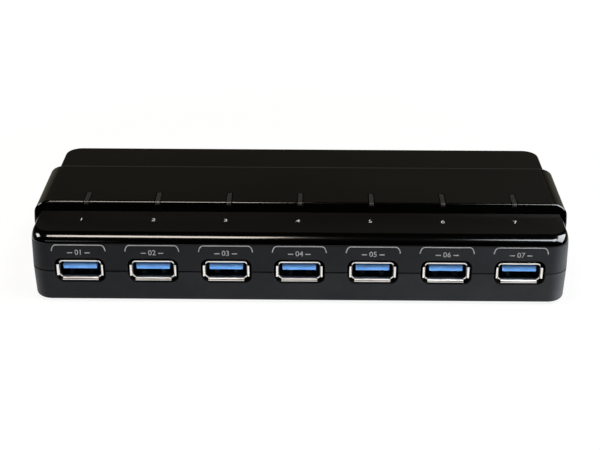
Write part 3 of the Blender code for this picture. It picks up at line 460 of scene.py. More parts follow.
class Finish:
    """A Principled material whose colour, roughness and relief come from noise on object coordinates."""

    def __init__(self, name, metallic=0.0):
        self.material = bpy.data.materials.new(name)
        self.material.use_nodes = True
        self.tree = self.material.node_tree
        self.shader = self.tree.nodes["Principled BSDF"]
        self.shader.inputs["Metallic"].default_value = metallic
        self.place = self.tree.nodes.new("ShaderNodeTexCoord").outputs["Object"]
        self.normal = None

    def noise(self, size, detail=2.0, stretch=(1, 1, 1)):
        """Grey noise with grains of about a size in metres, drawn out along the axes by a stretch."""
        scale = [1 / (size * pull) for pull in stretch]
        mapping = shader_node(self.tree, "ShaderNodeMapping", {"Vector": self.place, "Scale": scale})
        grains = {"Vector": mapping.outputs[0], "Scale": 1.0, "Detail": detail}
        return shader_node(self.tree, "ShaderNodeTexNoise", grains).outputs[0]

    def colour(self, grain, dark, pale):
        """The base colour, from dark where the noise is low to pale where it is high."""
        ramp = shader_node(self.tree, "ShaderNodeValToRGB", {"Fac": grain})
        for stop, position, tone in zip(ramp.color_ramp.elements, (GRAIN_LOW, GRAIN_HIGH), (dark, pale)):
            stop.position = position
            stop.color = (*tone, 1.0)
        self.tree.links.new(ramp.outputs["Color"], self.shader.inputs["Base Color"])

    def tinted(self, share, tone):
        """Draw the base colour towards a tone by a share."""
        base = self.shader.inputs["Base Color"]
        tones = {"Factor": share, "A": base.links[0].from_socket, "B": (*tone, 1.0)}
        blend = shader_node(self.tree, "ShaderNodeMix", tones, data_type="RGBA")
        self.tree.links.new(blend.outputs["Result"], base)

    def roughness(self, grain, low, high):
        """The roughness, spread over the noise."""
        span = {"Value": grain, "From Min": GRAIN_LOW, "From Max": GRAIN_HIGH, "To Min": low, "To Max": high}
        spread = shader_node(self.tree, "ShaderNodeMapRange", span)
        self.tree.links.new(spread.outputs[0], self.shader.inputs["Roughness"])

    def relief(self, grain, depth):
        """Relief of a depth in metres on top of any relief given before."""
        bump = shader_node(self.tree, "ShaderNodeBump", {"Distance": depth, "Height": grain})
        if self.normal:
            self.tree.links.new(self.normal, bump.inputs["Normal"])
        self.normal = bump.outputs["Normal"]
        self.tree.links.new(self.normal, self.shader.inputs["Normal"])


def grained(name, grain, tones, gloss, depth=None, metallic=0.0):
    """A finish whose colour, roughness and relief follow one grain of a size, detail and stretch."""
    finish = Finish(name, metallic)
    spots = finish.noise(*grain)
    finish.colour(spots, *tones)
    finish.roughness(spots, *gloss)
    if depth:
        finish.relief(spots, depth)
    return finish.material


def spark_plastic(name, dark, pale):
    """Black plastic moulded against a spark-eroded tool: a fine even grain, a little cloudy."""
    finish = Finish(name)
    finish.shader.inputs["Specular IOR Level"].default_value = 0.10
    grain = finish.noise(0.00045, detail=3.0)
    finish.colour(finish.noise(0.010, detail=4.0), dark, pale)
    finish.roughness(grain, 0.46, 0.60)
    finish.relief(grain, 0.00003)
    return finish.material


def place(piece, material, slot, nodes=()):
    """Shade a finished piece evenly, fix it to the body and hide the frame nodes that it stands for."""
    piece.data.materials.clear()
    piece.data.materials.append(material)
    work = bmesh.new()
    work.from_mesh(piece.data)
    bmesh.ops.remove_doubles(work, verts=work.verts, dist=MERGE_REACH)
    work.to_mesh(piece.data)
    work.free()
    piece.data.shade_smooth()
    piece.data.set_sharp_from_angle(angle=SHARP_ANGLE)
    even = piece.modifiers.new("even_shading", "WEIGHTED_NORMAL")
    even.keep_sharp = True
    baked(piece)
    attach(piece, "root")
    if nodes:
        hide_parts(*nodes)


tray_loops = []
for angle in quarter_turn(FILLET_STEPS):
    inset = (TRAY_TOP - TRAY_BOTTOM) * WALL_LEAN + BOTTOM_EDGE_R * (1 - math.sin(angle))
    tray_loops.append(housing_loop(inset, TRAY_BOTTOM + BOTTOM_EDGE_R * (1 - math.cos(angle))))
tray_loops += [
    housing_loop(0, TRAY_TOP - SEAM_CHAMFER),
    housing_loop(SEAM_CHAMFER, TRAY_TOP),
    housing_loop(WALL - RIM_LIP_THICK, TRAY_TOP),
    housing_loop(WALL - RIM_LIP_THICK, tray_high.z),
    housing_loop(WALL, tray_high.z),
    housing_loop(WALL + (TRAY_TOP - TRAY_FLOOR) * WALL_LEAN, TRAY_FLOOR),
]
tray = skin("tray", tray_loops)
screw_boxes = [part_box(node) for node in numbered("screw", CASE_CORNERS)]
foot_boxes = [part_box(node) for node in numbered("foot", CASE_CORNERS)]
for low, high in screw_boxes:
    screw_place = plan_middle(low, high)
    head_hole = high.x - low.x + 2 * FIT
    post_top = TRAY_FLOOR + POST_HEIGHT
    post_width = head_hole + 2 * POST_WALL
    join(tray, turned("post", [(post_width, TRAY_FLOOR - OVERLAP), (post_width, post_top)], screw_place))
    shank = [(SHANK_HOLE, TRAY_BOTTOM + OVERLAP), (SHANK_HOLE, post_top + CUT_PAST)]
    cut(tray, floor_hole(head_hole, screw_place, HEAD_SEAT))
    cut(tray, turned("shank_hole", shank, screw_place))
for low, high in foot_boxes:
    foot_place = plan_middle(low, high)
    cut(tray, floor_hole(high.x - low.x + 2 * FIT, foot_place, FOOT_RECESS))
for cutter in socket_holes():
    cut(tray, cutter)
place(tray, spark_plastic("tray_plastic", TRAY_DARK, TRAY_PALE), "matte_tray", ["bottom_housing"])
walls_only.objects.link(tray)

# Circuit board and its parts
# A glass-fibre board under green solder mask, clamped between the tray's posts and the lid's bosses.
# It carries two moulded chips, their crystal cans, three capacitors, an inductor and a regulator.


def dress(node, material):
    """Give a frame node its finish."""
    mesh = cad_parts[node].data
    mesh.materials.clear()
    mesh.materials.append(material)


def board_mask():
    """Solder mask over copper: long fine runs that show as paler lines in the green."""
    tones = ((0.003, 0.026, 0.010), (0.008, 0.060, 0.024))
    return grained("solder_mask", (0.0007, 1.0, (12, 1, 1)), tones, (0.28, 0.42), 0.00003)


def moulded_package(name, dark, pale):
    """Filled epoxy or ferrite with a dull, sandy skin."""
    return grained(name, (0.0003, 2.0), (dark, pale), (0.55, 0.75), 0.00002)


def drawn_can(name, dark, pale):
    """Drawn metal, with faint upright draw marks."""
    return grained(name, (0.0004, 3.0, (1, 1, 10)), (dark, pale), (0.24, 0.38), 0.00001, metallic=1.0)


dress("circuit_board", board_mask())
chip_black = moulded_package("chip_epoxy", (0.022, 0.022, 0.023), (0.036, 0.036, 0.037))
ferrite = moulded_package("ferrite", (0.080, 0.080, 0.088), (0.120, 0.120, 0.130))
crystal_metal = drawn_can("crystal_metal", (0.66, 0.66, 0.67), (0.78, 0.78, 0.79))
capacitor_metal = drawn_can("capacitor_metal", (0.60, 0.60, 0.62), (0.72, 0.72, 0.74))
for node in ("hub_chip_1", "hub_chip_2", "regulator"):
    dress(node, chip_black)
for node in ("crystal_1", "crystal_2"):
    dress(node, crystal_metal)
for node in ("capacitor_1", "capacitor_2", "capacitor_3"):
    dress(node, capacitor_metal)
dress("inductor", ferrite)

# Front socket shells
# Steel strip folded into a tube and nickel plated, one for each port. The four front edges flare into lips,
# with the corners cut away between them, and two legs on each shell are soldered into the board.
THROAT_WIDTH = 0.0125
THROAT_HEIGHT = 0.00512
THROAT_CORNER_R = 0.0008
THROAT_STEPS = 6
SHELL_WALL = 0.0003
SHELL_LENGTH = 0.0178
LIP_FLARE = 0.0008
LIP_DEPTH = 0.0012
LIP_STEPS = 8
CORNER_RELIEF = 0.0007
RELIEF_DEPTH = 0.0010
LEG_WIDTH = 0.0020
LEG_THICK = 0.0002
LEG_SETBACK = 0.0110
SPRING_X = 0.0031
SPRING_WIDTH = 0.0016
SPRING_FRONT = 0.0030
SPRING_LENGTH = 0.0056
SPRING_RISE = 0.00055
SPRING_SLOT = 0.0003
SPRING_STEPS = 14
SPRING_BOW_START = 0.12
SPRING_BOW_RATE = 1.15
SPRING_TIP_SHARE = 0.8
SPRING_TAPER_SHARE = 0.25
SPRING_THICK_SHARE = 0.8
SPRING_EDGE_SHARE = 0.3
# Depths behind the rim over which the plate's colour is darkened as painted shade.
THROAT_PAINTED_SHADE = (0.0010, 0.0024)


def row_tree():
    """Geometry nodes that repeat one piece along the hub, each copy with its own small turn about its axis."""
    tree = bpy.data.node_groups.new("row_along_the_hub", "GeometryNodeTree")
    inputs = (
        ("Piece", "NodeSocketGeometry"),
        ("Count", "NodeSocketInt"),
        ("Pitch", "NodeSocketFloat"),
        ("First Place", "NodeSocketVector"),
        ("Most Turn", "NodeSocketFloat"),
        ("Turn Seed", "NodeSocketInt"),
        ("Finish", "NodeSocketMaterial"),
    )
    for name, kind in inputs:
        tree.interface.new_socket(name, in_out="INPUT", socket_type=kind)
    tree.interface.new_socket("Row", in_out="OUTPUT", socket_type="NodeSocketGeometry")
    given = tree.nodes.new("NodeGroupInput")
    row = tree.nodes.new("NodeGroupOutput")
    step = tree.nodes.new("ShaderNodeCombineXYZ")
    line = tree.nodes.new("GeometryNodeMeshLine")
    turn = tree.nodes.new("FunctionNodeRandomValue")
    turn.data_type = "FLOAT"
    about_axis = tree.nodes.new("ShaderNodeCombineXYZ")
    rotation = tree.nodes.new("FunctionNodeEulerToRotation")
    copies = tree.nodes.new("GeometryNodeInstanceOnPoints")
    real = tree.nodes.new("GeometryNodeRealizeInstances")
    paint = tree.nodes.new("GeometryNodeSetMaterial")
    for source, target in (
        (given.outputs["Pitch"], step.inputs["X"]),
        (given.outputs["Count"], line.inputs["Count"]),
        (given.outputs["First Place"], line.inputs["Start Location"]),
        (step.outputs[0], line.inputs["Offset"]),
        (given.outputs["Most Turn"], turn.inputs[3]),
        (given.outputs["Turn Seed"], turn.inputs["Seed"]),
        (turn.outputs[1], about_axis.inputs["Z"]),
        (about_axis.outputs[0], rotation.inputs[0]),
        (line.outputs[0], copies.inputs["Points"]),
        (given.outputs["Piece"], copies.inputs["Instance"]),
        (rotation.outputs[0], copies.inputs["Rotation"]),
        (copies.outputs[0], real.inputs[0]),
        (real.outputs[0], paint.inputs["Geometry"]),
        (given.outputs["Finish"], paint.inputs["Material"]),
        (paint.outputs[0], row.inputs[0]),
    ):
        tree.links.new(source, target)
    return tree


ROW_TREE = row_tree()


def in_row(piece, count, pitch, first, material, most_turn=0.0, seed=0):
    """Repeat a piece along X from its first place, as one plain mesh."""
    values = {
        "Count": count,
        "Pitch": pitch,
        "First Place": first,
        "Most Turn": most_turn,
        "Turn Seed": seed,
        "Finish": material,
    }
    modifier = piece.modifiers.new("row", "NODES")
    modifier.node_group = ROW_TREE
    for item in ROW_TREE.interface.items_tree:
        if item.in_out == "INPUT" and item.name in values:
            modifier[item.identifier] = values[item.name]
    return baked(piece)


def at_sockets(piece, first, material, slot=None, nodes=()):
    """Repeat a piece at every front socket, from its place at the first one, and put the row in place."""
    row = in_row(piece, SOCKET_COUNT, SOCKET_PITCH, first, material)
    place(row, material, slot, nodes)
    return row


def plated(name, dark, pale, low, high, stretch):
    """Bright plate over rolled strip: faint roll marks in its gloss."""
    finish = Finish(name, metallic=1.0)
    marks = finish.noise(0.0004, detail=3.0, stretch=stretch)
    finish.colour(finish.noise(0.004), dark, pale)
    finish.roughness(marks, low, high)
    finish.relief(marks, 0.000004)
    return finish.material


def throat(grow, y):
    """The tube's outline at one depth behind its rim."""
    width = THROAT_WIDTH + 2 * grow
    height = THROAT_HEIGHT + 2 * grow
    return at_y(rounded_rect(width, height, THROAT_CORNER_R + grow, THROAT_STEPS), y)


def socket_shell():
    """One shell about the middle of its rim, with its springs' slots cut."""
    inner = []
    outer = []
    for angle in quarter_turn(LIP_STEPS):
        spread = LIP_FLARE * (1 - math.sin(angle))
        back = LIP_DEPTH * (1 - math.cos(angle))
        facing = Vector((LIP_DEPTH * math.sin(angle), LIP_FLARE * math.cos(angle))).normalized() * SHELL_WALL
        inner.append((spread, back))
        outer.append((spread + facing.x, back + facing.y))
    lip = []
    for step in range(1, LIP_STEPS):
        angle = math.radians(180) * (1 - step / LIP_STEPS)
        half = SHELL_WALL / 2
        lip.append((LIP_FLARE + half * math.sin(angle), half - half * math.cos(angle)))
    profile = [(SHELL_WALL, SHELL_LENGTH)] + outer[::-1] + lip + inner + [(0, SHELL_LENGTH)]
    shell = skin("socket_shells", [throat(grow, y) for grow, y in profile], ring=True)
    reach = CORNER_RELIEF + SHELL_WALL + LIP_FLARE + CUT_PAST
    leg_bottom = socket_boxes[0][0].z - SOCKET_Z
    for side in (-1, 1):
        for level in (-1, 1):
            relief_x = side * (THROAT_WIDTH / 2 - CORNER_RELIEF + reach / 2)
            relief_z = level * (THROAT_HEIGHT / 2 - CORNER_RELIEF + reach / 2)
            relief = moved(rounded_rect(reach, reach, LEAST_R, 4), relief_x, relief_z)
            cut(shell, prism("relief", at_y, relief, -CUT_PAST, RELIEF_DEPTH))
            slot_width = SPRING_WIDTH + 2 * SPRING_SLOT
            slot_length = SPRING_LENGTH + SPRING_SLOT
            slot = moved(rounded_rect(slot_width, slot_length, LEAST_R, 4),
                         side * SPRING_X, SPRING_FRONT + (SPRING_LENGTH - SPRING_SLOT) / 2)
            wall_z = level * THROAT_HEIGHT / 2
            cut(shell, prism("spring_slot", at_z, slot, wall_z - OVERLAP, wall_z + OVERLAP))
        leg_x = side * (THROAT_WIDTH / 2 + SHELL_WALL / 2)
        leg = moved(rounded_rect(LEG_THICK, LEG_WIDTH, LEG_THICK / 4, 2), leg_x, LEG_SETBACK)
        leg_top = THROAT_CORNER_R - THROAT_HEIGHT / 2 + OVERLAP
        join(shell, prism("leg", at_z, leg, leg_bottom, leg_top))
    return shell


def socket_springs():
    """Four leaf springs that press on a plug's shell: strips of the tube itself, bowed into the throat."""
    springs = None
    for side in (-1, 1):
        for level in (-1, 1):
            loops = []
            for step in range(SPRING_STEPS + 1):
                share = step / SPRING_STEPS
                bow = math.sin(math.pi * min(share * SPRING_BOW_RATE + SPRING_BOW_START, 1))
                rise = SPRING_RISE * bow - SHELL_WALL / 2
                wall_z = level * (THROAT_HEIGHT / 2 - rise)
                y = SPRING_FRONT + share * (SPRING_LENGTH + OVERLAP)
                full = min(share / SPRING_TAPER_SHARE, 1)
                width = SPRING_WIDTH * (SPRING_TIP_SHARE + (1 - SPRING_TIP_SHARE) * full)
                leaf = rounded_rect(width, SHELL_WALL * SPRING_THICK_SHARE, SHELL_WALL * SPRING_EDGE_SHARE, 3)
                loops.append(at_y(moved(leaf, side * SPRING_X, wall_z), y))
            spring = skin("socket_springs", loops)
            if springs:
                join(springs, spring)
            else:
                springs = spring
    return springs


def rim_nickel():
    """The sockets' plate: clean and bright on the lips, darkened down the throat by painted shade."""
    finish = Finish("rim_nickel", metallic=1.0)
    marks = finish.noise(0.0004, detail=3.0, stretch=(8, 1, 1))
    finish.colour(finish.noise(0.004), (0.72, 0.69, 0.65), (0.80, 0.77, 0.73))
    split = shader_node(finish.tree, "ShaderNodeSeparateXYZ", {0: finish.place})
    depths = [RIM_Y + depth for depth in THROAT_PAINTED_SHADE]
    # Painted shade: the plate's colour runs to near black over these depths behind the rim, where the throat
    # lies in shade.
    finish.tinted(faded(finish.tree, split.outputs["Y"], *depths, 0.0, 1.0), (0.020, 0.020, 0.022))
    finish.roughness(marks, 0.34, 0.46)
    finish.relief(marks, 0.000004)
    return finish.material


bright_nickel = plated("bright_nickel", (0.30, 0.30, 0.30), (0.40, 0.40, 0.40), 0.28, 0.40, (8, 1, 1))
first_socket = (SOCKET_XS[0], RIM_Y, SOCKET_Z)
shell_nickel = rim_nickel()
at_sockets(socket_shell(), first_socket, shell_nickel, "bright_nickel", numbered("port_shell", SOCKET_COUNT))
at_sockets(socket_springs(), first_socket, bright_nickel, "bright_nickel")

# Front socket tongues and contacts
# Blue glass-filled nylon: a block that closes the back of the shell and a flat tongue in its upper half.
# Four long gold strips and, behind them, five short ones are pressed into the tongue's underside.
TONGUE_WIDTH = 0.0104
TONGUE_THICK = 0.00184
TONGUE_TOP_GAP = 0.00067
TONGUE_SETBACK = 0.0009
TONGUE_LENGTH = 0.0088
TONGUE_EASE = 0.00022
TONGUE_EASE_STEPS = 4
STRIP_XS = (-0.0035, -0.0010, 0.0010, 0.0035)
STRIP_WIDTH = 0.0010
STRIP_LENGTH = 0.0055
STRIP_FRONT = 0.0017
LEAF_XS = (-0.0040, -0.0020, 0.0, 0.0020, 0.0040)
LEAF_WIDTH = 0.0006
LEAF_LENGTH = 0.0012
LEAF_FRONT = 0.0078
CONTACT_PROUD = 0.00016
CONTACT_EDGE_SHARE = 0.8
TONGUE_Z = THROAT_HEIGHT / 2 - TONGUE_TOP_GAP - TONGUE_THICK / 2


def blue_nylon(name, dark, pale):
    """Glass-filled blue nylon, satin with faint flow marks."""
    finish = Finish(name)
    flow = finish.noise(0.0012, detail=3.0, stretch=(3, 1, 1))
    finish.colour(flow, dark, pale)
    finish.roughness(flow, 0.30, 0.42)
    finish.relief(finish.noise(0.0002), 0.000006)
    return finish.material


def socket_tongue():
    """One tongue and its block about the middle of the socket's rim."""
    block_front = TONGUE_SETBACK + TONGUE_LENGTH
    block = rounded_rect(THROAT_WIDTH - 2 * FIT, THROAT_HEIGHT - 2 * FIT, THROAT_CORNER_R / 2, THROAT_STEPS)
    tongue = prism("socket_tongues", at_y, block, block_front, SHELL_LENGTH)
    loops = []
    for angle in quarter_turn(TONGUE_EASE_STEPS):
        trim = TONGUE_EASE * (1 - math.sin(angle))
        outline = rounded_rect(TONGUE_WIDTH - 2 * trim, TONGUE_THICK - 2 * trim, TONGUE_EASE, 4)
        loops.append(at_y(moved(outline, 0, TONGUE_Z), TONGUE_SETBACK + TONGUE_EASE * (1 - math.cos(angle))))
    loops.append(at_y(moved(outline, 0, TONGUE_Z), block_front + OVERLAP))
    join(tongue, skin("bar", loops))
    return tongue


def merged(name, bodies):
    """Several bodies as one object."""
    work = bmesh.new()
    for body in bodies:
        work.from_mesh(body.data)
        bpy.data.objects.remove(body)
    mesh = bpy.data.meshes.new(name)
    work.to_mesh(mesh)
    work.free()
    whole = bpy.data.objects.new(name, mesh)
    bpy.context.scene.collection.objects.link(whole)
    return whole


def contact_strips(name, xs, width, length, front, z):
    """Flat strips side by side under a tongue, joined as one object of separate bodies."""
    outline = rounded_rect(width, CONTACT_PROUD * 2, CONTACT_PROUD * CONTACT_EDGE_SHARE, 3)
    return merged(name, [prism(name, at_y, moved(outline, x, z), front, front + length) for x in xs])


socket_blue = blue_nylon("socket_blue", (0.090, 0.300, 0.740), (0.150, 0.390, 0.840))
contact_gold = plated("contact_gold", (0.74, 0.52, 0.22), (0.86, 0.64, 0.30), 0.18, 0.30, (1, 6, 1))
tongue_nodes = numbered("port_tongue", SOCKET_COUNT)
tongues_only.objects.link(at_sockets(socket_tongue(), first_socket, socket_blue, "blue_plastic", tongue_nodes))
tongue_under = TONGUE_Z - TONGUE_THICK / 2
contacts = merged("socket_contacts", [
    contact_strips("long_strips", STRIP_XS, STRIP_WIDTH, STRIP_LENGTH, STRIP_FRONT, tongue_under),
    contact_strips("short_leaves", LEAF_XS, LEAF_WIDTH, LEAF_LENGTH, LEAF_FRONT, tongue_under),
])
at_sockets(contacts, first_socket, contact_gold)

# Cable socket at the back
# A square plated shell with a stepped mouth, and inside it a blue insulator with a thick lower and a thin
# upper tongue. Gold strips lie on the tongues. The socket is soldered into a notch of the board.
UPLINK_RIM_SIDE = 0.00175
UPLINK_RIM_TOP = 0.0007
UPLINK_CORNER_R = 0.0006
MOUTH_CHAMFER = 0.0014
MOUTH_EASE = 0.00025
NECK_HEIGHT = 0.0031
INSULATOR_BLOCK = 0.0070
LOWER_TONGUE_GAP = 0.00145
LOWER_TONGUE_HEIGHT = 0.0032
UPPER_TONGUE_GAP = 0.00085
UPPER_TONGUE_HEIGHT = 0.0013
INSULATOR_SETBACK = 0.0010
INSULATOR_STRIP_XS = (-0.00125, 0.00125)
INSULATOR_STRIP_WIDTH = 0.0011
FINE_STRIP_XS = (-0.0014, -0.0007, 0.0, 0.0007, 0.0014)
FINE_STRIP_WIDTH = 0.0004
INSULATOR_STRIP_LENGTH = 0.0070

uplink_low, uplink_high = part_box("uplink_shell")
UPLINK_X = (uplink_low.x + uplink_high.x) / 2
UPLINK_Z = (uplink_low.z + uplink_high.z) / 2
UPLINK_WIDTH = uplink_high.x - uplink_low.x
UPLINK_HEIGHT = uplink_high.z - uplink_low.z
MOUTH_WIDTH = UPLINK_WIDTH - 2 * UPLINK_RIM_SIDE
MOUTH_HEIGHT = UPLINK_HEIGHT - 2 * UPLINK_RIM_TOP


def mouth_outline(trim):
    """The stepped mouth, drawn in by a trim."""
    low = -MOUTH_HEIGHT / 2 + trim
    high = MOUTH_HEIGHT / 2 - trim
    half = MOUTH_WIDTH / 2 - trim
    shoulder = MOUTH_HEIGHT / 2 - NECK_HEIGHT - MOUTH_CHAMFER - trim
    neck = half - MOUTH_CHAMFER
    right = [(half, low), (half, shoulder), (neck, shoulder + MOUTH_CHAMFER), (neck, high)]
    return moved(right + [(-x, z) for x, z in reversed(right)], UPLINK_X, UPLINK_Z)


def uplink_outline(trim):
    """The shell's square outline, drawn in by a trim."""
    outline = rounded_rect(UPLINK_WIDTH - 2 * trim, UPLINK_HEIGHT - 2 * trim, UPLINK_CORNER_R, THROAT_STEPS)
    return moved(outline, UPLINK_X, UPLINK_Z)


uplink = skin("cable_socket_shell", [
    at_y(uplink_outline(MOUTH_EASE), uplink_high.y),
    at_y(uplink_outline(0), uplink_high.y - MOUTH_EASE),
    at_y(uplink_outline(0), uplink_low.y),
])
cut(uplink, skin("mouth", [
    at_y(mouth_outline(-MOUTH_EASE - CUT_PAST), uplink_high.y + CUT_PAST),
    at_y(mouth_outline(-MOUTH_EASE), uplink_high.y),
    at_y(mouth_outline(0), uplink_high.y - MOUTH_EASE),
    at_y(mouth_outline(0), uplink_low.y - CUT_PAST),
]))
place(uplink, plated("cable_nickel", (0.70, 0.69, 0.66), (0.78, 0.77, 0.74), 0.20, 0.32, (1, 8, 1)),
      "uplink_nickel", ["uplink_shell"])

insulator_front = uplink_high.y - INSULATOR_SETBACK
insulator_block = uplink_low.y + INSULATOR_BLOCK
insulator = prism("cable_socket_insulator", at_y, mouth_outline(FIT), insulator_block, uplink_low.y)
lower_width = MOUTH_WIDTH - 2 * LOWER_TONGUE_GAP
upper_width = MOUTH_WIDTH - 2 * (MOUTH_CHAMFER + UPPER_TONGUE_GAP)
lower_z = UPLINK_Z - NECK_HEIGHT / 2
upper_z = UPLINK_Z + (MOUTH_HEIGHT - NECK_HEIGHT) / 2
cable_tongues = ((lower_width, LOWER_TONGUE_HEIGHT, lower_z), (upper_width, UPPER_TONGUE_HEIGHT, upper_z))
for width, height, z in cable_tongues:
    nose = moved(rounded_rect(width - 2 * TONGUE_EASE, height - 2 * TONGUE_EASE, TONGUE_EASE, 4), UPLINK_X, z)
    bar = moved(rounded_rect(width, height, TONGUE_EASE, 4), UPLINK_X, z)
    join(insulator, skin("bar", [
        at_y(nose, insulator_front),
        at_y(bar, insulator_front - TONGUE_EASE),
        at_y(bar, insulator_block - OVERLAP),
    ]))
place(insulator, blue_nylon("cable_blue", (0.035, 0.160, 0.560), (0.050, 0.205, 0.640)),
      "uplink_blue", ["uplink_tongue"])
strip_front = insulator_front - TONGUE_EASE - INSULATOR_STRIP_LENGTH
pair_xs = [UPLINK_X + x for x in INSULATOR_STRIP_XS]
fine_xs = [UPLINK_X + x for x in FINE_STRIP_XS]
strip_rows = []
for side in (-1, 1):
    strip_rows.append((pair_xs, INSULATOR_STRIP_WIDTH, lower_z + side * LOWER_TONGUE_HEIGHT / 2))
strip_rows.append((fine_xs, FINE_STRIP_WIDTH, upper_z - UPPER_TONGUE_HEIGHT / 2))
cable_contacts = merged("cable_socket_contacts", [
    contact_strips("strips", xs, width, INSULATOR_STRIP_LENGTH, strip_front, z) for xs, width, z in strip_rows
])
place(cable_contacts, contact_gold, None)

# Power socket at the back
# A black moulded block on the board with a round barrel through the back wall. A plated pin stands in the
# middle of the bore, and a bent leaf of spring metal lies along its floor.
JACK_BORE = 0.0064
JACK_BORE_DEPTH = 0.0095
BARREL_EASE = 0.0003
JACK_CORNER_R = 0.0008
JACK_SHOULDER = BACK - WALL - FIT
PIN_DIAMETER = 0.0020
PIN_SETBACK = 0.0010
PIN_STEPS = 8
PIN_TIP_TURN = math.radians(84)
LEAF_THICK = 0.0003
LEAF_EDGE_SHARE = 0.4
POWER_LEAF_WIDTH = 0.0022
POWER_LEAF_BOW = 0.0007

jack_low, jack_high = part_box("jack_body")
pin_low, pin_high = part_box("jack_pin")
JACK_X = (jack_low.x + jack_high.x) / 2
JACK_Z = (jack_low.z + jack_high.z) / 2


def about_jack(diameter, y):
    """A circle about the power socket's axis at one depth."""
    return at_y(moved(circle(diameter), JACK_X, JACK_Z), y)


block = rounded_rect(jack_high.x - jack_low.x, jack_high.z - jack_low.z, JACK_CORNER_R, THROAT_STEPS)
block = moved(block, JACK_X, JACK_Z)
jack = prism("power_socket_body", at_y, block, JACK_SHOULDER, jack_low.y)
join(jack, skin("barrel", [
    about_jack(BARREL_DIAMETER - 2 * BARREL_EASE, jack_high.y),
    about_jack(BARREL_DIAMETER, jack_high.y - BARREL_EASE),
    about_jack(BARREL_DIAMETER, JACK_SHOULDER - OVERLAP),
]))
bore_end = jack_high.y - JACK_BORE_DEPTH
cut(jack, skin("bore", [
    about_jack(JACK_BORE + 2 * (BARREL_EASE + CUT_PAST), jack_high.y + CUT_PAST),
    about_jack(JACK_BORE + 2 * BARREL_EASE, jack_high.y),
    about_jack(JACK_BORE, jack_high.y - BARREL_EASE),
    about_jack(JACK_BORE, bore_end),
    about_jack(PIN_DIAMETER + 2 * FIT, bore_end),
    about_jack(PIN_DIAMETER + 2 * FIT, pin_low.y - FIT),
]))
socket_black = spark_plastic("socket_black", (0.016, 0.016, 0.016), (0.024, 0.024, 0.024))
place(jack, socket_black, "jack_black", ["jack_body"])

pin_loops = [about_jack(PIN_DIAMETER, pin_low.y)]
for step in range(PIN_STEPS + 1):
    angle = PIN_TIP_TURN * step / PIN_STEPS
    tip_y = pin_high.y - PIN_DIAMETER / 2 * (1 - math.sin(angle))
    pin_loops.append(about_jack(PIN_DIAMETER * math.cos(angle), tip_y))
pin = skin("power_socket_pin", pin_loops)
pin_plate = plated("pin_nickel", (0.76, 0.74, 0.70), (0.84, 0.82, 0.78), 0.14, 0.24, (1, 6, 1))
place(pin, pin_plate, "pin_nickel", ["jack_pin"])

leaf_loops = []
for step in range(PIN_STEPS + 1):
    share = step / PIN_STEPS
    z = JACK_Z - JACK_BORE / 2 + LEAF_THICK + POWER_LEAF_BOW * math.sin(math.pi * share)
    leaf_outline = moved(rounded_rect(POWER_LEAF_WIDTH, LEAF_THICK, LEAF_THICK * LEAF_EDGE_SHARE, 3), JACK_X, z)
    leaf_loops.append(at_y(leaf_outline, bore_end + share * (JACK_BORE_DEPTH - PIN_SETBACK)))
place(skin("power_socket_leaf", leaf_loops), pin_plate, "pin_nickel")

# Status lamps and light guides
# A small milky lamp behind each socket shines into a blade of smoked acrylic, which stands in a slot of the
# lid and shows as a narrow window over the band's front edge.
BAND_EDGE_R = 0.0006
BAND_FACE_LEAN = 0.0019
BAND_EDGE_STEPS = 12
BAND_FOOT_REACH = 0.00102
LID_GAP = 0.0002
LID_DROP = 0.0002
LID_HEIGHT = 0.0026
LID_THICK = 0.0016
BAND_DEPTH = 0.03165
WINDOW_LENGTH = 0.0088
WINDOW_WIDTH = 0.0014
WINDOW_DROP = 0.0009
WINDOW_GAP = 0.0003
GUIDE_SHOULDER_HEIGHT = 0.0012
GUIDE_STEM = 0.0024
GUIDE_TAPER = 0.0045

frame_low, frame_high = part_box("upper_housing")
lid_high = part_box("top_cover")[1]
guide_low, guide_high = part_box("light_guide_1")
lamp_middle = middle_of("led_1")
BAND_HALF = frame_high.x
BAND_TOP = lid_high.z
LID_BOTTOM = frame_high.z + LID_GAP - LID_DROP
TIER_TOP = LID_BOTTOM + LID_HEIGHT
LID_UNDERSIDE = TIER_TOP - LID_THICK
BAND_UNDERSIDE = BAND_TOP - LID_THICK
WINDOW_FOOT = BAND_TOP - WINDOW_DROP


def band_lean(z):
    """How far the band's front face leans in at a height above the lid's edge."""
    return BAND_FACE_LEAN * (z - LID_BOTTOM) / (BAND_TOP - LID_BOTTOM)


BAND_FRONT = guide_low.y - BAND_FOOT_REACH
BAND_BACK = BAND_FRONT + BAND_DEPTH
WINDOW_END = BAND_FRONT + WINDOW_LENGTH
HOLLOW_FRONT = BAND_FRONT + band_lean(BAND_UNDERSIDE) + LID_THICK


def milky_lens():
    """Cast epoxy, milky and slightly uneven."""
    return grained("milky_lens", (0.0006,), ((0.66, 0.69, 0.62), (0.80, 0.82, 0.76)), (0.18, 0.30))


def smoked_acrylic():
    """Smoked acrylic with a faintly frosted face."""
    tones = ((0.022, 0.022, 0.020), (0.036, 0.036, 0.033))
    return grained("smoked_acrylic", (0.0005, 3.0), tones, (0.22, 0.34), 0.000006)


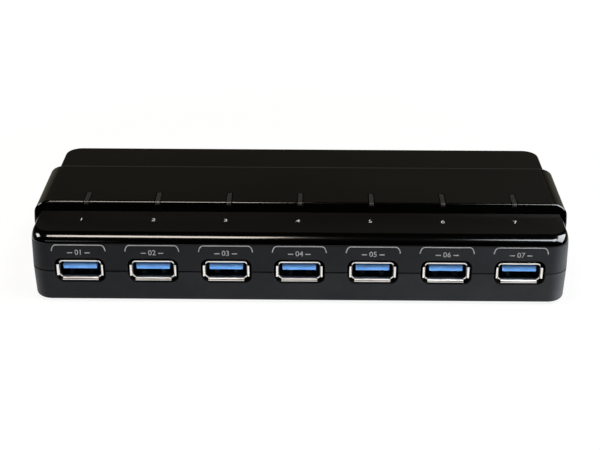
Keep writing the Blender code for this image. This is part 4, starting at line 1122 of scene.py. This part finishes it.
def light_guide():
    """One blade about the middle of its socket."""
    outline = [(BAND_FRONT + band_lean(WINDOW_FOOT), WINDOW_FOOT)]
    for angle in quarter_turn(BAND_EDGE_STEPS):
        z = BAND_TOP - BAND_EDGE_R * (1 - math.sin(angle))
        outline.append((BAND_FRONT + BAND_EDGE_R * (1 - math.cos(angle)) + band_lean(z), z))
    shoulder = BAND_UNDERSIDE - FIT
    shoulder_low = shoulder - GUIDE_SHOULDER_HEIGHT
    stem_front = lamp_middle.y - GUIDE_STEM / 2
    stem_back = lamp_middle.y + GUIDE_STEM / 2
    wall_back = HOLLOW_FRONT + FIT + WINDOW_GAP
    outline += [
        (WINDOW_END, BAND_TOP),
        (WINDOW_END, shoulder),
        (guide_high.y, shoulder),
        (guide_high.y, shoulder_low),
        (stem_back, shoulder_low - GUIDE_TAPER),
        (stem_back, guide_low.z),
        (stem_front, guide_low.z),
        (stem_front, shoulder_low - GUIDE_TAPER),
        (wall_back, shoulder_low),
        (wall_back, WINDOW_FOOT),
    ]
    return prism("light_guides", at_x, outline, -WINDOW_WIDTH / 2, WINDOW_WIDTH / 2)


lens = milky_lens()
for node in numbered("led", SOCKET_COUNT):
    dress(node, lens)
smoked = smoked_acrylic()
guide_nodes = numbered("light_guide", SOCKET_COUNT)
at_sockets(light_guide(), (SOCKET_XS[0], 0, 0), smoked, "smoked_clear", guide_nodes)

# Upper housing
# The upright wall between tray and lid, moulded like the tray in black ABS with a fine spark-eroded skin.
# The band's step runs down both ends, and a rebate inside takes the tray's lip.
SEAM_GAP = 0.00045
# Darker than the tray's tones: partly its own tone, and partly painted shade, the tray being painted paler for
# the floor's bounce.
FRAME_DARK = (0.0072, 0.0077, 0.0088)
FRAME_PALE = (0.0094, 0.0100, 0.0112)
FRAME_BOTTOM = TRAY_TOP + SEAM_GAP
FRAME_TOP = LID_BOTTOM - LID_GAP
FRAME_TOP_INSET = (FRAME_TOP - FRAME_BOTTOM) * WALL_LEAN


def frame_loop(inset, height, band_half=None):
    """The wall's plan at one height, with the band's step on both ends where it stands proud."""
    plan = [(x, y) for x, y, _ in housing_loop(inset, height)]
    half = HALF_WIDTH - inset
    outer = band_half or half
    soft = BAND_EDGE_R if band_half else 0
    step_front = [(half, BAND_FRONT)]
    for angle in quarter_turn(BAND_EDGE_STEPS):
        step_x = outer - soft * (1 - math.sin(angle))
        step_front.append((step_x, BAND_FRONT + BAND_EDGE_R * (1 - math.cos(angle))))
    middle_y = BAND_FRONT + BAND_BACK
    right_step = step_front + [(x, middle_y - y) for x, y in reversed(step_front)]
    left_step = [(-x, y) for x, y in reversed(right_step)]
    half_way = len(plan) // 2
    return at_z(plan[:half_way] + left_step + plan[half_way:] + right_step, height)


rebate = WALL - RIM_LIP_THICK - FIT
rebate_top = tray_high.z + FIT
wall = skin("wall", [
    frame_loop(SEAM_CHAMFER, FRAME_BOTTOM, BAND_HALF - SEAM_CHAMFER),
    frame_loop(0, FRAME_BOTTOM + SEAM_CHAMFER, BAND_HALF),
    frame_loop(FRAME_TOP_INSET, FRAME_TOP, BAND_HALF),
    frame_loop(FRAME_TOP_INSET + WALL, FRAME_TOP),
    frame_loop(WALL, rebate_top),
    frame_loop(rebate, rebate_top),
    frame_loop(rebate, FRAME_BOTTOM),
], ring=True)
for cutter in socket_holes():
    cut(wall, cutter)
place(wall, spark_plastic("wall_plastic", FRAME_DARK, FRAME_PALE), "matte_frame", ["upper_housing"])
walls_only.objects.link(wall)

# Bracket prints and socket numbers
# Pale grey ink, pad printed on the wall over each socket: a rounded bracket that frames the socket, and
# below it the socket's number between two short bars.
INK_PROUD = 0.00002
INK_SINK = 0.00005
BRACKET_LINE = 0.0003
BRACKET_TOP = 0.0199
BRACKET_DROP = 0.0021
BRACKET_FOOT = 0.0083
BRACKET_CORNER = 0.0080
BRACKET_FLAT = 0.0068
BRACKET_STEPS = 10
NUMBER_HEIGHT = 0.0018
NUMBER_Z = 0.0166
BAR_NEAR = 0.0019
BAR_FAR = 0.0035
BAR_LEVEL_SHARE = 0.36
BAR_Z = NUMBER_Z + NUMBER_HEIGHT * BAR_LEVEL_SHARE
FONT_CAP = 0.73


def wall_y(z):
    """The wall's outer face at a height on the front."""
    low = FRAME_BOTTOM + SEAM_CHAMFER
    return FRONT + FRAME_TOP_INSET * (z - low) / (FRAME_TOP - low)


def ink_line(name, path, width):
    """A printed line of a width along flat points (x, z) on the front wall."""
    loops = []
    for index, (x, z) in enumerate(path):
        before = Vector(path[max(index - 1, 0)])
        after = Vector(path[min(index + 1, len(path) - 1)])
        along = (after - before).normalized()
        side = Vector((-along.y, along.x)) * width / 2
        loop = []
        for sign, lift in ((1, -INK_SINK), (1, INK_PROUD), (-1, INK_PROUD), (-1, -INK_SINK)):
            point_x = x + sign * side.x
            point_z = z + sign * side.y
            loop.append((point_x, wall_y(point_z) - lift, point_z))
        loops.append(loop)
    return skin(name, loops)


def bracket():
    """One bracket about its socket's middle, with bent ends."""
    foot = Vector((BRACKET_FOOT, BRACKET_TOP - BRACKET_DROP))
    corner = Vector((BRACKET_CORNER, BRACKET_TOP))
    flat = Vector((BRACKET_FLAT, BRACKET_TOP))
    right = []
    for step in range(BRACKET_STEPS + 1):
        share = step / BRACKET_STEPS
        right.append((1 - share) ** 2 * foot + 2 * share * (1 - share) * corner + share ** 2 * flat)
    path = [(x, z) for x, z in right] + [(-x, z) for x, z in reversed(right)]
    return ink_line("bracket_prints", path, BRACKET_LINE)


def ink(name, dark, pale):
    """Pad-printing ink, with thin spots."""
    return grained(name, (0.0005, 3.0), (dark, pale), (0.42, 0.58))


def figure(text, cap_height, place_matrix):
    """A printed number as a thin closed mesh, set in place by a matrix."""
    curve = bpy.data.curves.new("figure", "FONT")
    curve.body = text
    curve.size = cap_height / FONT_CAP
    curve.align_x = "CENTER"
    curve.extrude = (INK_PROUD + INK_SINK) / 2
    written = bpy.data.objects.new("figure", curve)
    bpy.context.scene.collection.objects.link(written)
    graph = bpy.context.evaluated_depsgraph_get()
    mesh = bpy.data.meshes.new_from_object(written.evaluated_get(graph))
    bpy.data.objects.remove(written)
    mesh.transform(place_matrix @ Matrix.Translation((0, 0, (INK_PROUD - INK_SINK) / 2)))
    printed = bpy.data.objects.new("figure", mesh)
    bpy.context.scene.collection.objects.link(printed)
    return printed


pale_ink = ink("pale_ink", (0.60, 0.61, 0.64), (0.80, 0.81, 0.84))
at_sockets(bracket(), (SOCKET_XS[0], 0, 0), pale_ink)
upright = Matrix.Rotation(math.radians(90) - math.atan(WALL_LEAN), 4, "X")
marks = []
for number, x in enumerate(SOCKET_XS, start=1):
    spot = Matrix.Translation((x, wall_y(NUMBER_Z), NUMBER_Z))
    marks.append(figure(f"{number:02d}", NUMBER_HEIGHT, spot @ upright))
    for side in (-1, 1):
        bar_path = [(x + side * BAR_NEAR, BAR_Z), (x + side * BAR_FAR, BAR_Z)]
        marks.append(ink_line("bar", bar_path, BRACKET_LINE))
place(merged("socket_numbers", marks), pale_ink, None)

# Top cover
# One polished black moulding: a low front and back tier, and across the middle a raised band with round
# shoulders. A lip inside locates it, and the four case screws draw it down by bosses from below.
TOP_EDGE_REACH = 0.0042
SIDE_EDGE_REACH = 0.0010
TIER_BACK_REACH = 0.0014
TOP_EDGE_START = math.radians(20)
TOP_EDGE_STEPS = 14
SHOULDER_REACH = 0.0050
SHOULDER_HEIGHT = 0.0035
SHOULDER_STEPS = 14
BACK_EDGE_R = 0.0018
BACK_FACE_LEAN = 0.0010
LID_LIP_THICK = 0.0012
LID_LIP_HEIGHT = 0.0015
BOSS_WALL = 0.0016
BOARD_FIT = 0.0003
CLEAN_ROUGHNESS = 0.11
DUSTY_ROUGHNESS = 0.30
LEVEL_FACE = (0.985, 0.9995)
CLEAN_BLACK = (0.0005, 0.0005, 0.0005)


def polished_black():
    """Black plastic off a polished tool: faint waves where it shrank, and a veil of dust and painted sheen on
    its level faces.
    """
    finish = Finish("polished_black")
    dust_and_sheen_grain = finish.noise(0.020, detail=4.0, stretch=(3, 1, 1))
    # Painted sheen: the level faces take a pale warm tone, partly dust and partly the dim room they mirror
    # painted in; all other faces are near black.
    finish.colour(dust_and_sheen_grain, (0.0020, 0.0014, 0.0006), (0.0028, 0.0021, 0.0010))
    facing = shader_node(finish.tree, "ShaderNodeNewGeometry").outputs["Normal"]
    split = shader_node(finish.tree, "ShaderNodeSeparateXYZ", {0: facing})
    finish.tinted(faded(finish.tree, split.outputs["Z"], *LEVEL_FACE, 1.0, 0.0), CLEAN_BLACK)
    dusty = faded(finish.tree, split.outputs["Z"], *LEVEL_FACE, CLEAN_ROUGHNESS, DUSTY_ROUGHNESS)
    finish.tree.links.new(dusty, finish.shader.inputs["Roughness"])
    finish.relief(finish.noise(0.030, detail=0.0), 0.00022)
    return finish.material


def lid_loop(drawn_in, height):
    """The lid's plan at one height of its round edge, which reaches furthest in at the front."""
    front = FRAME_TOP_INSET + TOP_EDGE_REACH * drawn_in
    side = FRAME_TOP_INSET + SIDE_EDGE_REACH * drawn_in
    back = FRAME_TOP_INSET + TIER_BACK_REACH * drawn_in
    plan = rounded_rect(2 * (HALF_WIDTH - side), BACK - FRONT - front - back, CORNER_R - side, CORNER_STEPS)
    return at_z(moved(plan, 0, (front - back) / 2), height)


def band_loop(y, inset, lean):
    """The band's arch across the hub at one depth, drawn in by an inset and leaning back by a total."""
    half = BAND_HALF - inset
    top = BAND_TOP - inset
    reach = SHOULDER_REACH - inset
    height = SHOULDER_HEIGHT - inset
    points = [(half, LID_BOTTOM)]
    for angle in quarter_turn(SHOULDER_STEPS):
        points.append((half - reach + reach * math.cos(angle), top - height + height * math.sin(angle)))
    points += [(-x, z) for x, z in reversed(points)]
    return [(x, y + lean * (z - LID_BOTTOM) / (BAND_TOP - LID_BOTTOM), z) for x, z in points]


def band_edge(face, radius, inward, lean):
    """The arches of one rounded edge of the band, from its face inwards."""
    loops = []
    for angle in quarter_turn(BAND_EDGE_STEPS):
        y = face + inward * radius * (1 - math.cos(angle))
        loops.append(band_loop(y, radius * (1 - math.sin(angle)), inward * lean))
    return loops


band_loops = band_edge(BAND_FRONT, BAND_EDGE_R, 1, BAND_FACE_LEAN)
band_loops += reversed(band_edge(BAND_BACK, BACK_EDGE_R, -1, BACK_FACE_LEAN))

lip_outer = FRAME_TOP_INSET + WALL + FIT
lip_inner = lip_outer + LID_LIP_THICK
lip_bottom = FRAME_TOP - LID_LIP_HEIGHT
lid_loops = [
    housing_loop(lip_inner, LID_UNDERSIDE),
    housing_loop(lip_inner, lip_bottom),
    housing_loop(lip_outer, lip_bottom),
    housing_loop(lip_outer, LID_BOTTOM),
    housing_loop(FRAME_TOP_INSET, LID_BOTTOM),
]
edge_bottom = LID_BOTTOM + SEAM_CHAMFER
for step in range(TOP_EDGE_STEPS + 1):
    angle = TOP_EDGE_START + (math.radians(90) - TOP_EDGE_START) * step / TOP_EDGE_STEPS
    drawn_in = 1 - math.cos(angle) / math.cos(TOP_EDGE_START)
    below = (1 - math.sin(angle)) / (1 - math.sin(TOP_EDGE_START))
    height = TIER_TOP - (TIER_TOP - edge_bottom) * below
    lid_loops.append(lid_loop(drawn_in, height))
lid = skin("lid", lid_loops)
join(lid, skin("band", band_loops))
hollow_back = BAND_BACK - LID_THICK
hollow_width = 2 * (HALF_WIDTH - lip_inner - OVERLAP)
hollow = rounded_rect(hollow_width, hollow_back - HOLLOW_FRONT, LID_THICK, THROAT_STEPS)
hollow = moved(hollow, 0, (HOLLOW_FRONT + hollow_back) / 2)
cut(lid, prism("hollow", at_z, hollow, LID_BOTTOM - CUT_PAST, BAND_UNDERSIDE))
board_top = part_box("circuit_board")[1].z
for low, high in screw_boxes:
    boss_place = plan_middle(low, high)
    boss_top = OVERLAP + (BAND_UNDERSIDE if boss_place[1] < BAND_BACK else LID_UNDERSIDE)
    boss_width = SHANK_HOLE + 2 * BOSS_WALL
    join(lid, turned("boss", [(boss_width, board_top + BOARD_FIT), (boss_width, boss_top)], boss_place))
    cut(lid, turned("pilot", [(SHANK_HOLE, board_top - CUT_PAST), (SHANK_HOLE, high.z + FIT)], boss_place))
for node in ("uplink_shell", "jack_body"):
    room_outline = around(node, FIT, THROAT_STEPS)
    room_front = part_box(node)[0].y - FIT
    room_back = BACK + CUT_PAST if node == "uplink_shell" else JACK_SHOULDER + FIT
    cut(lid, prism("notch", at_y, room_outline, room_front, room_back))
slot_foot = WINDOW_FOOT - WINDOW_GAP
slot_end = WINDOW_END + WINDOW_GAP
wall_back = HOLLOW_FRONT + FIT
slot_outline = [
    (BAND_FRONT - CUT_PAST, slot_foot),
    (wall_back, slot_foot),
    (wall_back, BAND_UNDERSIDE - CUT_PAST),
    (slot_end, BAND_UNDERSIDE - CUT_PAST),
    (slot_end, BAND_TOP + CUT_PAST),
    (BAND_FRONT - CUT_PAST, BAND_TOP + CUT_PAST),
]
slot_half = WINDOW_WIDTH / 2 + WINDOW_GAP
for x in SOCKET_XS:
    cut(lid, prism("light_slot", at_x, slot_outline, x - slot_half, x + slot_half))
place(lid, polished_black(), "gloss_black", ["top_cover"])

# Numerals on the front tier
# A small white figure in front of each light window, from one to seven. The ink is pad printed on the
# finished gloss and stands two hundredths of a millimetre proud.
NUMERAL_HEIGHT = 0.0020
NUMERAL_Y = -0.0239
NUMERAL_SHIFT = -0.0006

white_ink = ink("white_ink", (0.66, 0.66, 0.66), (0.80, 0.80, 0.80))
numerals = []
for number, x in enumerate(SOCKET_XS, start=1):
    spot = Matrix.Translation((x + NUMERAL_SHIFT, NUMERAL_Y, TIER_TOP))
    numerals.append(figure(str(number), NUMERAL_HEIGHT, spot))
place(merged("tier_numerals", numerals), white_ink, None)

# Case screws
# Four pan-head screws of blackened steel with a cross in each head. They are driven up from below, through the
# tray's posts into the lid's bosses, and so clamp the board.
SCREW_HEAD_HEIGHT = 0.0018
SCREW_FACE_SHARE = 0.72
SCREW_CROWN = 0.0011
SCREW_DIAMETER = 0.0026
SCREW_POINT = 0.0010
CROSS_LENGTH = 0.0028
CROSS_WIDTH = 0.0007
CROSS_DEPTH = 0.0008


def blackened_steel():
    """Blackened steel, rubbed paler by the driver."""
    tones = ((0.16, 0.16, 0.17), (0.36, 0.36, 0.37))
    return grained("blackened_steel", (0.0005, 4.0), tones, (0.30, 0.45), 0.000008, metallic=1.0)


def case_screw(low, high):
    """One screw about its own axis, head down."""
    head = high.x - low.x
    profile = []
    for angle in quarter_turn(FILLET_STEPS):
        width = head * (SCREW_FACE_SHARE + (1 - SCREW_FACE_SHARE) * math.sin(angle))
        profile.append((width, SCREW_CROWN * (1 - math.cos(angle))))
    length = high.z - low.z
    profile += [
        (head, SCREW_HEAD_HEIGHT),
        (SCREW_DIAMETER, SCREW_HEAD_HEIGHT),
        (SCREW_DIAMETER, length - SCREW_DIAMETER),
        (SCREW_POINT, length),
    ]
    screw = turned("screw", profile)
    half = CROSS_WIDTH / 2
    arm = CROSS_LENGTH / 2
    cross = []
    quarter = [(arm, -half), (arm, half), (half, half)]
    for _ in range(4):
        cross += quarter
        quarter = [(-y, x) for x, y in quarter]
    cut(screw, prism("cross", at_z, cross, -CUT_PAST, CROSS_DEPTH))
    return screw


screw_metal = blackened_steel()
for name, pair, seed in (("front_screws", (1, 2), 3), ("back_screws", (3, 4), 8)):
    left, right = (middle_of(f"screw_{number}") for number in pair)
    low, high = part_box(f"screw_{pair[0]}")
    screws = case_screw(low, high)
    screws.name = name
    in_row(screws, 2, right.x - left.x, (left.x, left.y, low.z), screw_metal, math.radians(90), seed)
    place(screws, screw_metal, "screw_steel", [f"screw_{number}" for number in pair])

# Feet
# Four round pads of soft black rubber with an eased lower rim. Each is stuck with its own adhesive into a
# shallow round seat in the tray's underside.
FOOT_EASE = 0.0003


def soft_rubber():
    """Dull black rubber with a fine sandy skin."""
    finish = Finish("soft_rubber")
    sand = finish.noise(0.00025, detail=2.0)
    finish.colour(finish.noise(0.003), (0.018, 0.018, 0.018), (0.032, 0.032, 0.032))
    finish.roughness(sand, 0.80, 0.95)
    finish.relief(sand, 0.00003)
    return finish.material


rubber = soft_rubber()
for name, pair in (("front_feet", (1, 3)), ("back_feet", (2, 4))):
    left, right = (middle_of(f"foot_{number}") for number in pair)
    low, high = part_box(f"foot_{pair[0]}")
    profile = []
    for angle in quarter_turn(FILLET_STEPS):
        width = high.x - low.x - 2 * FOOT_EASE * (1 - math.sin(angle))
        profile.append((width, FOOT_EASE * (1 - math.cos(angle))))
    profile.append((high.x - low.x, high.z - low.z))
    feet = turned(name, profile)
    in_row(feet, 2, right.x - left.x, (left.x, left.y, low.z), rubber)
    place(feet, rubber, "foot_rubber", [f"foot_{number}" for number in pair])
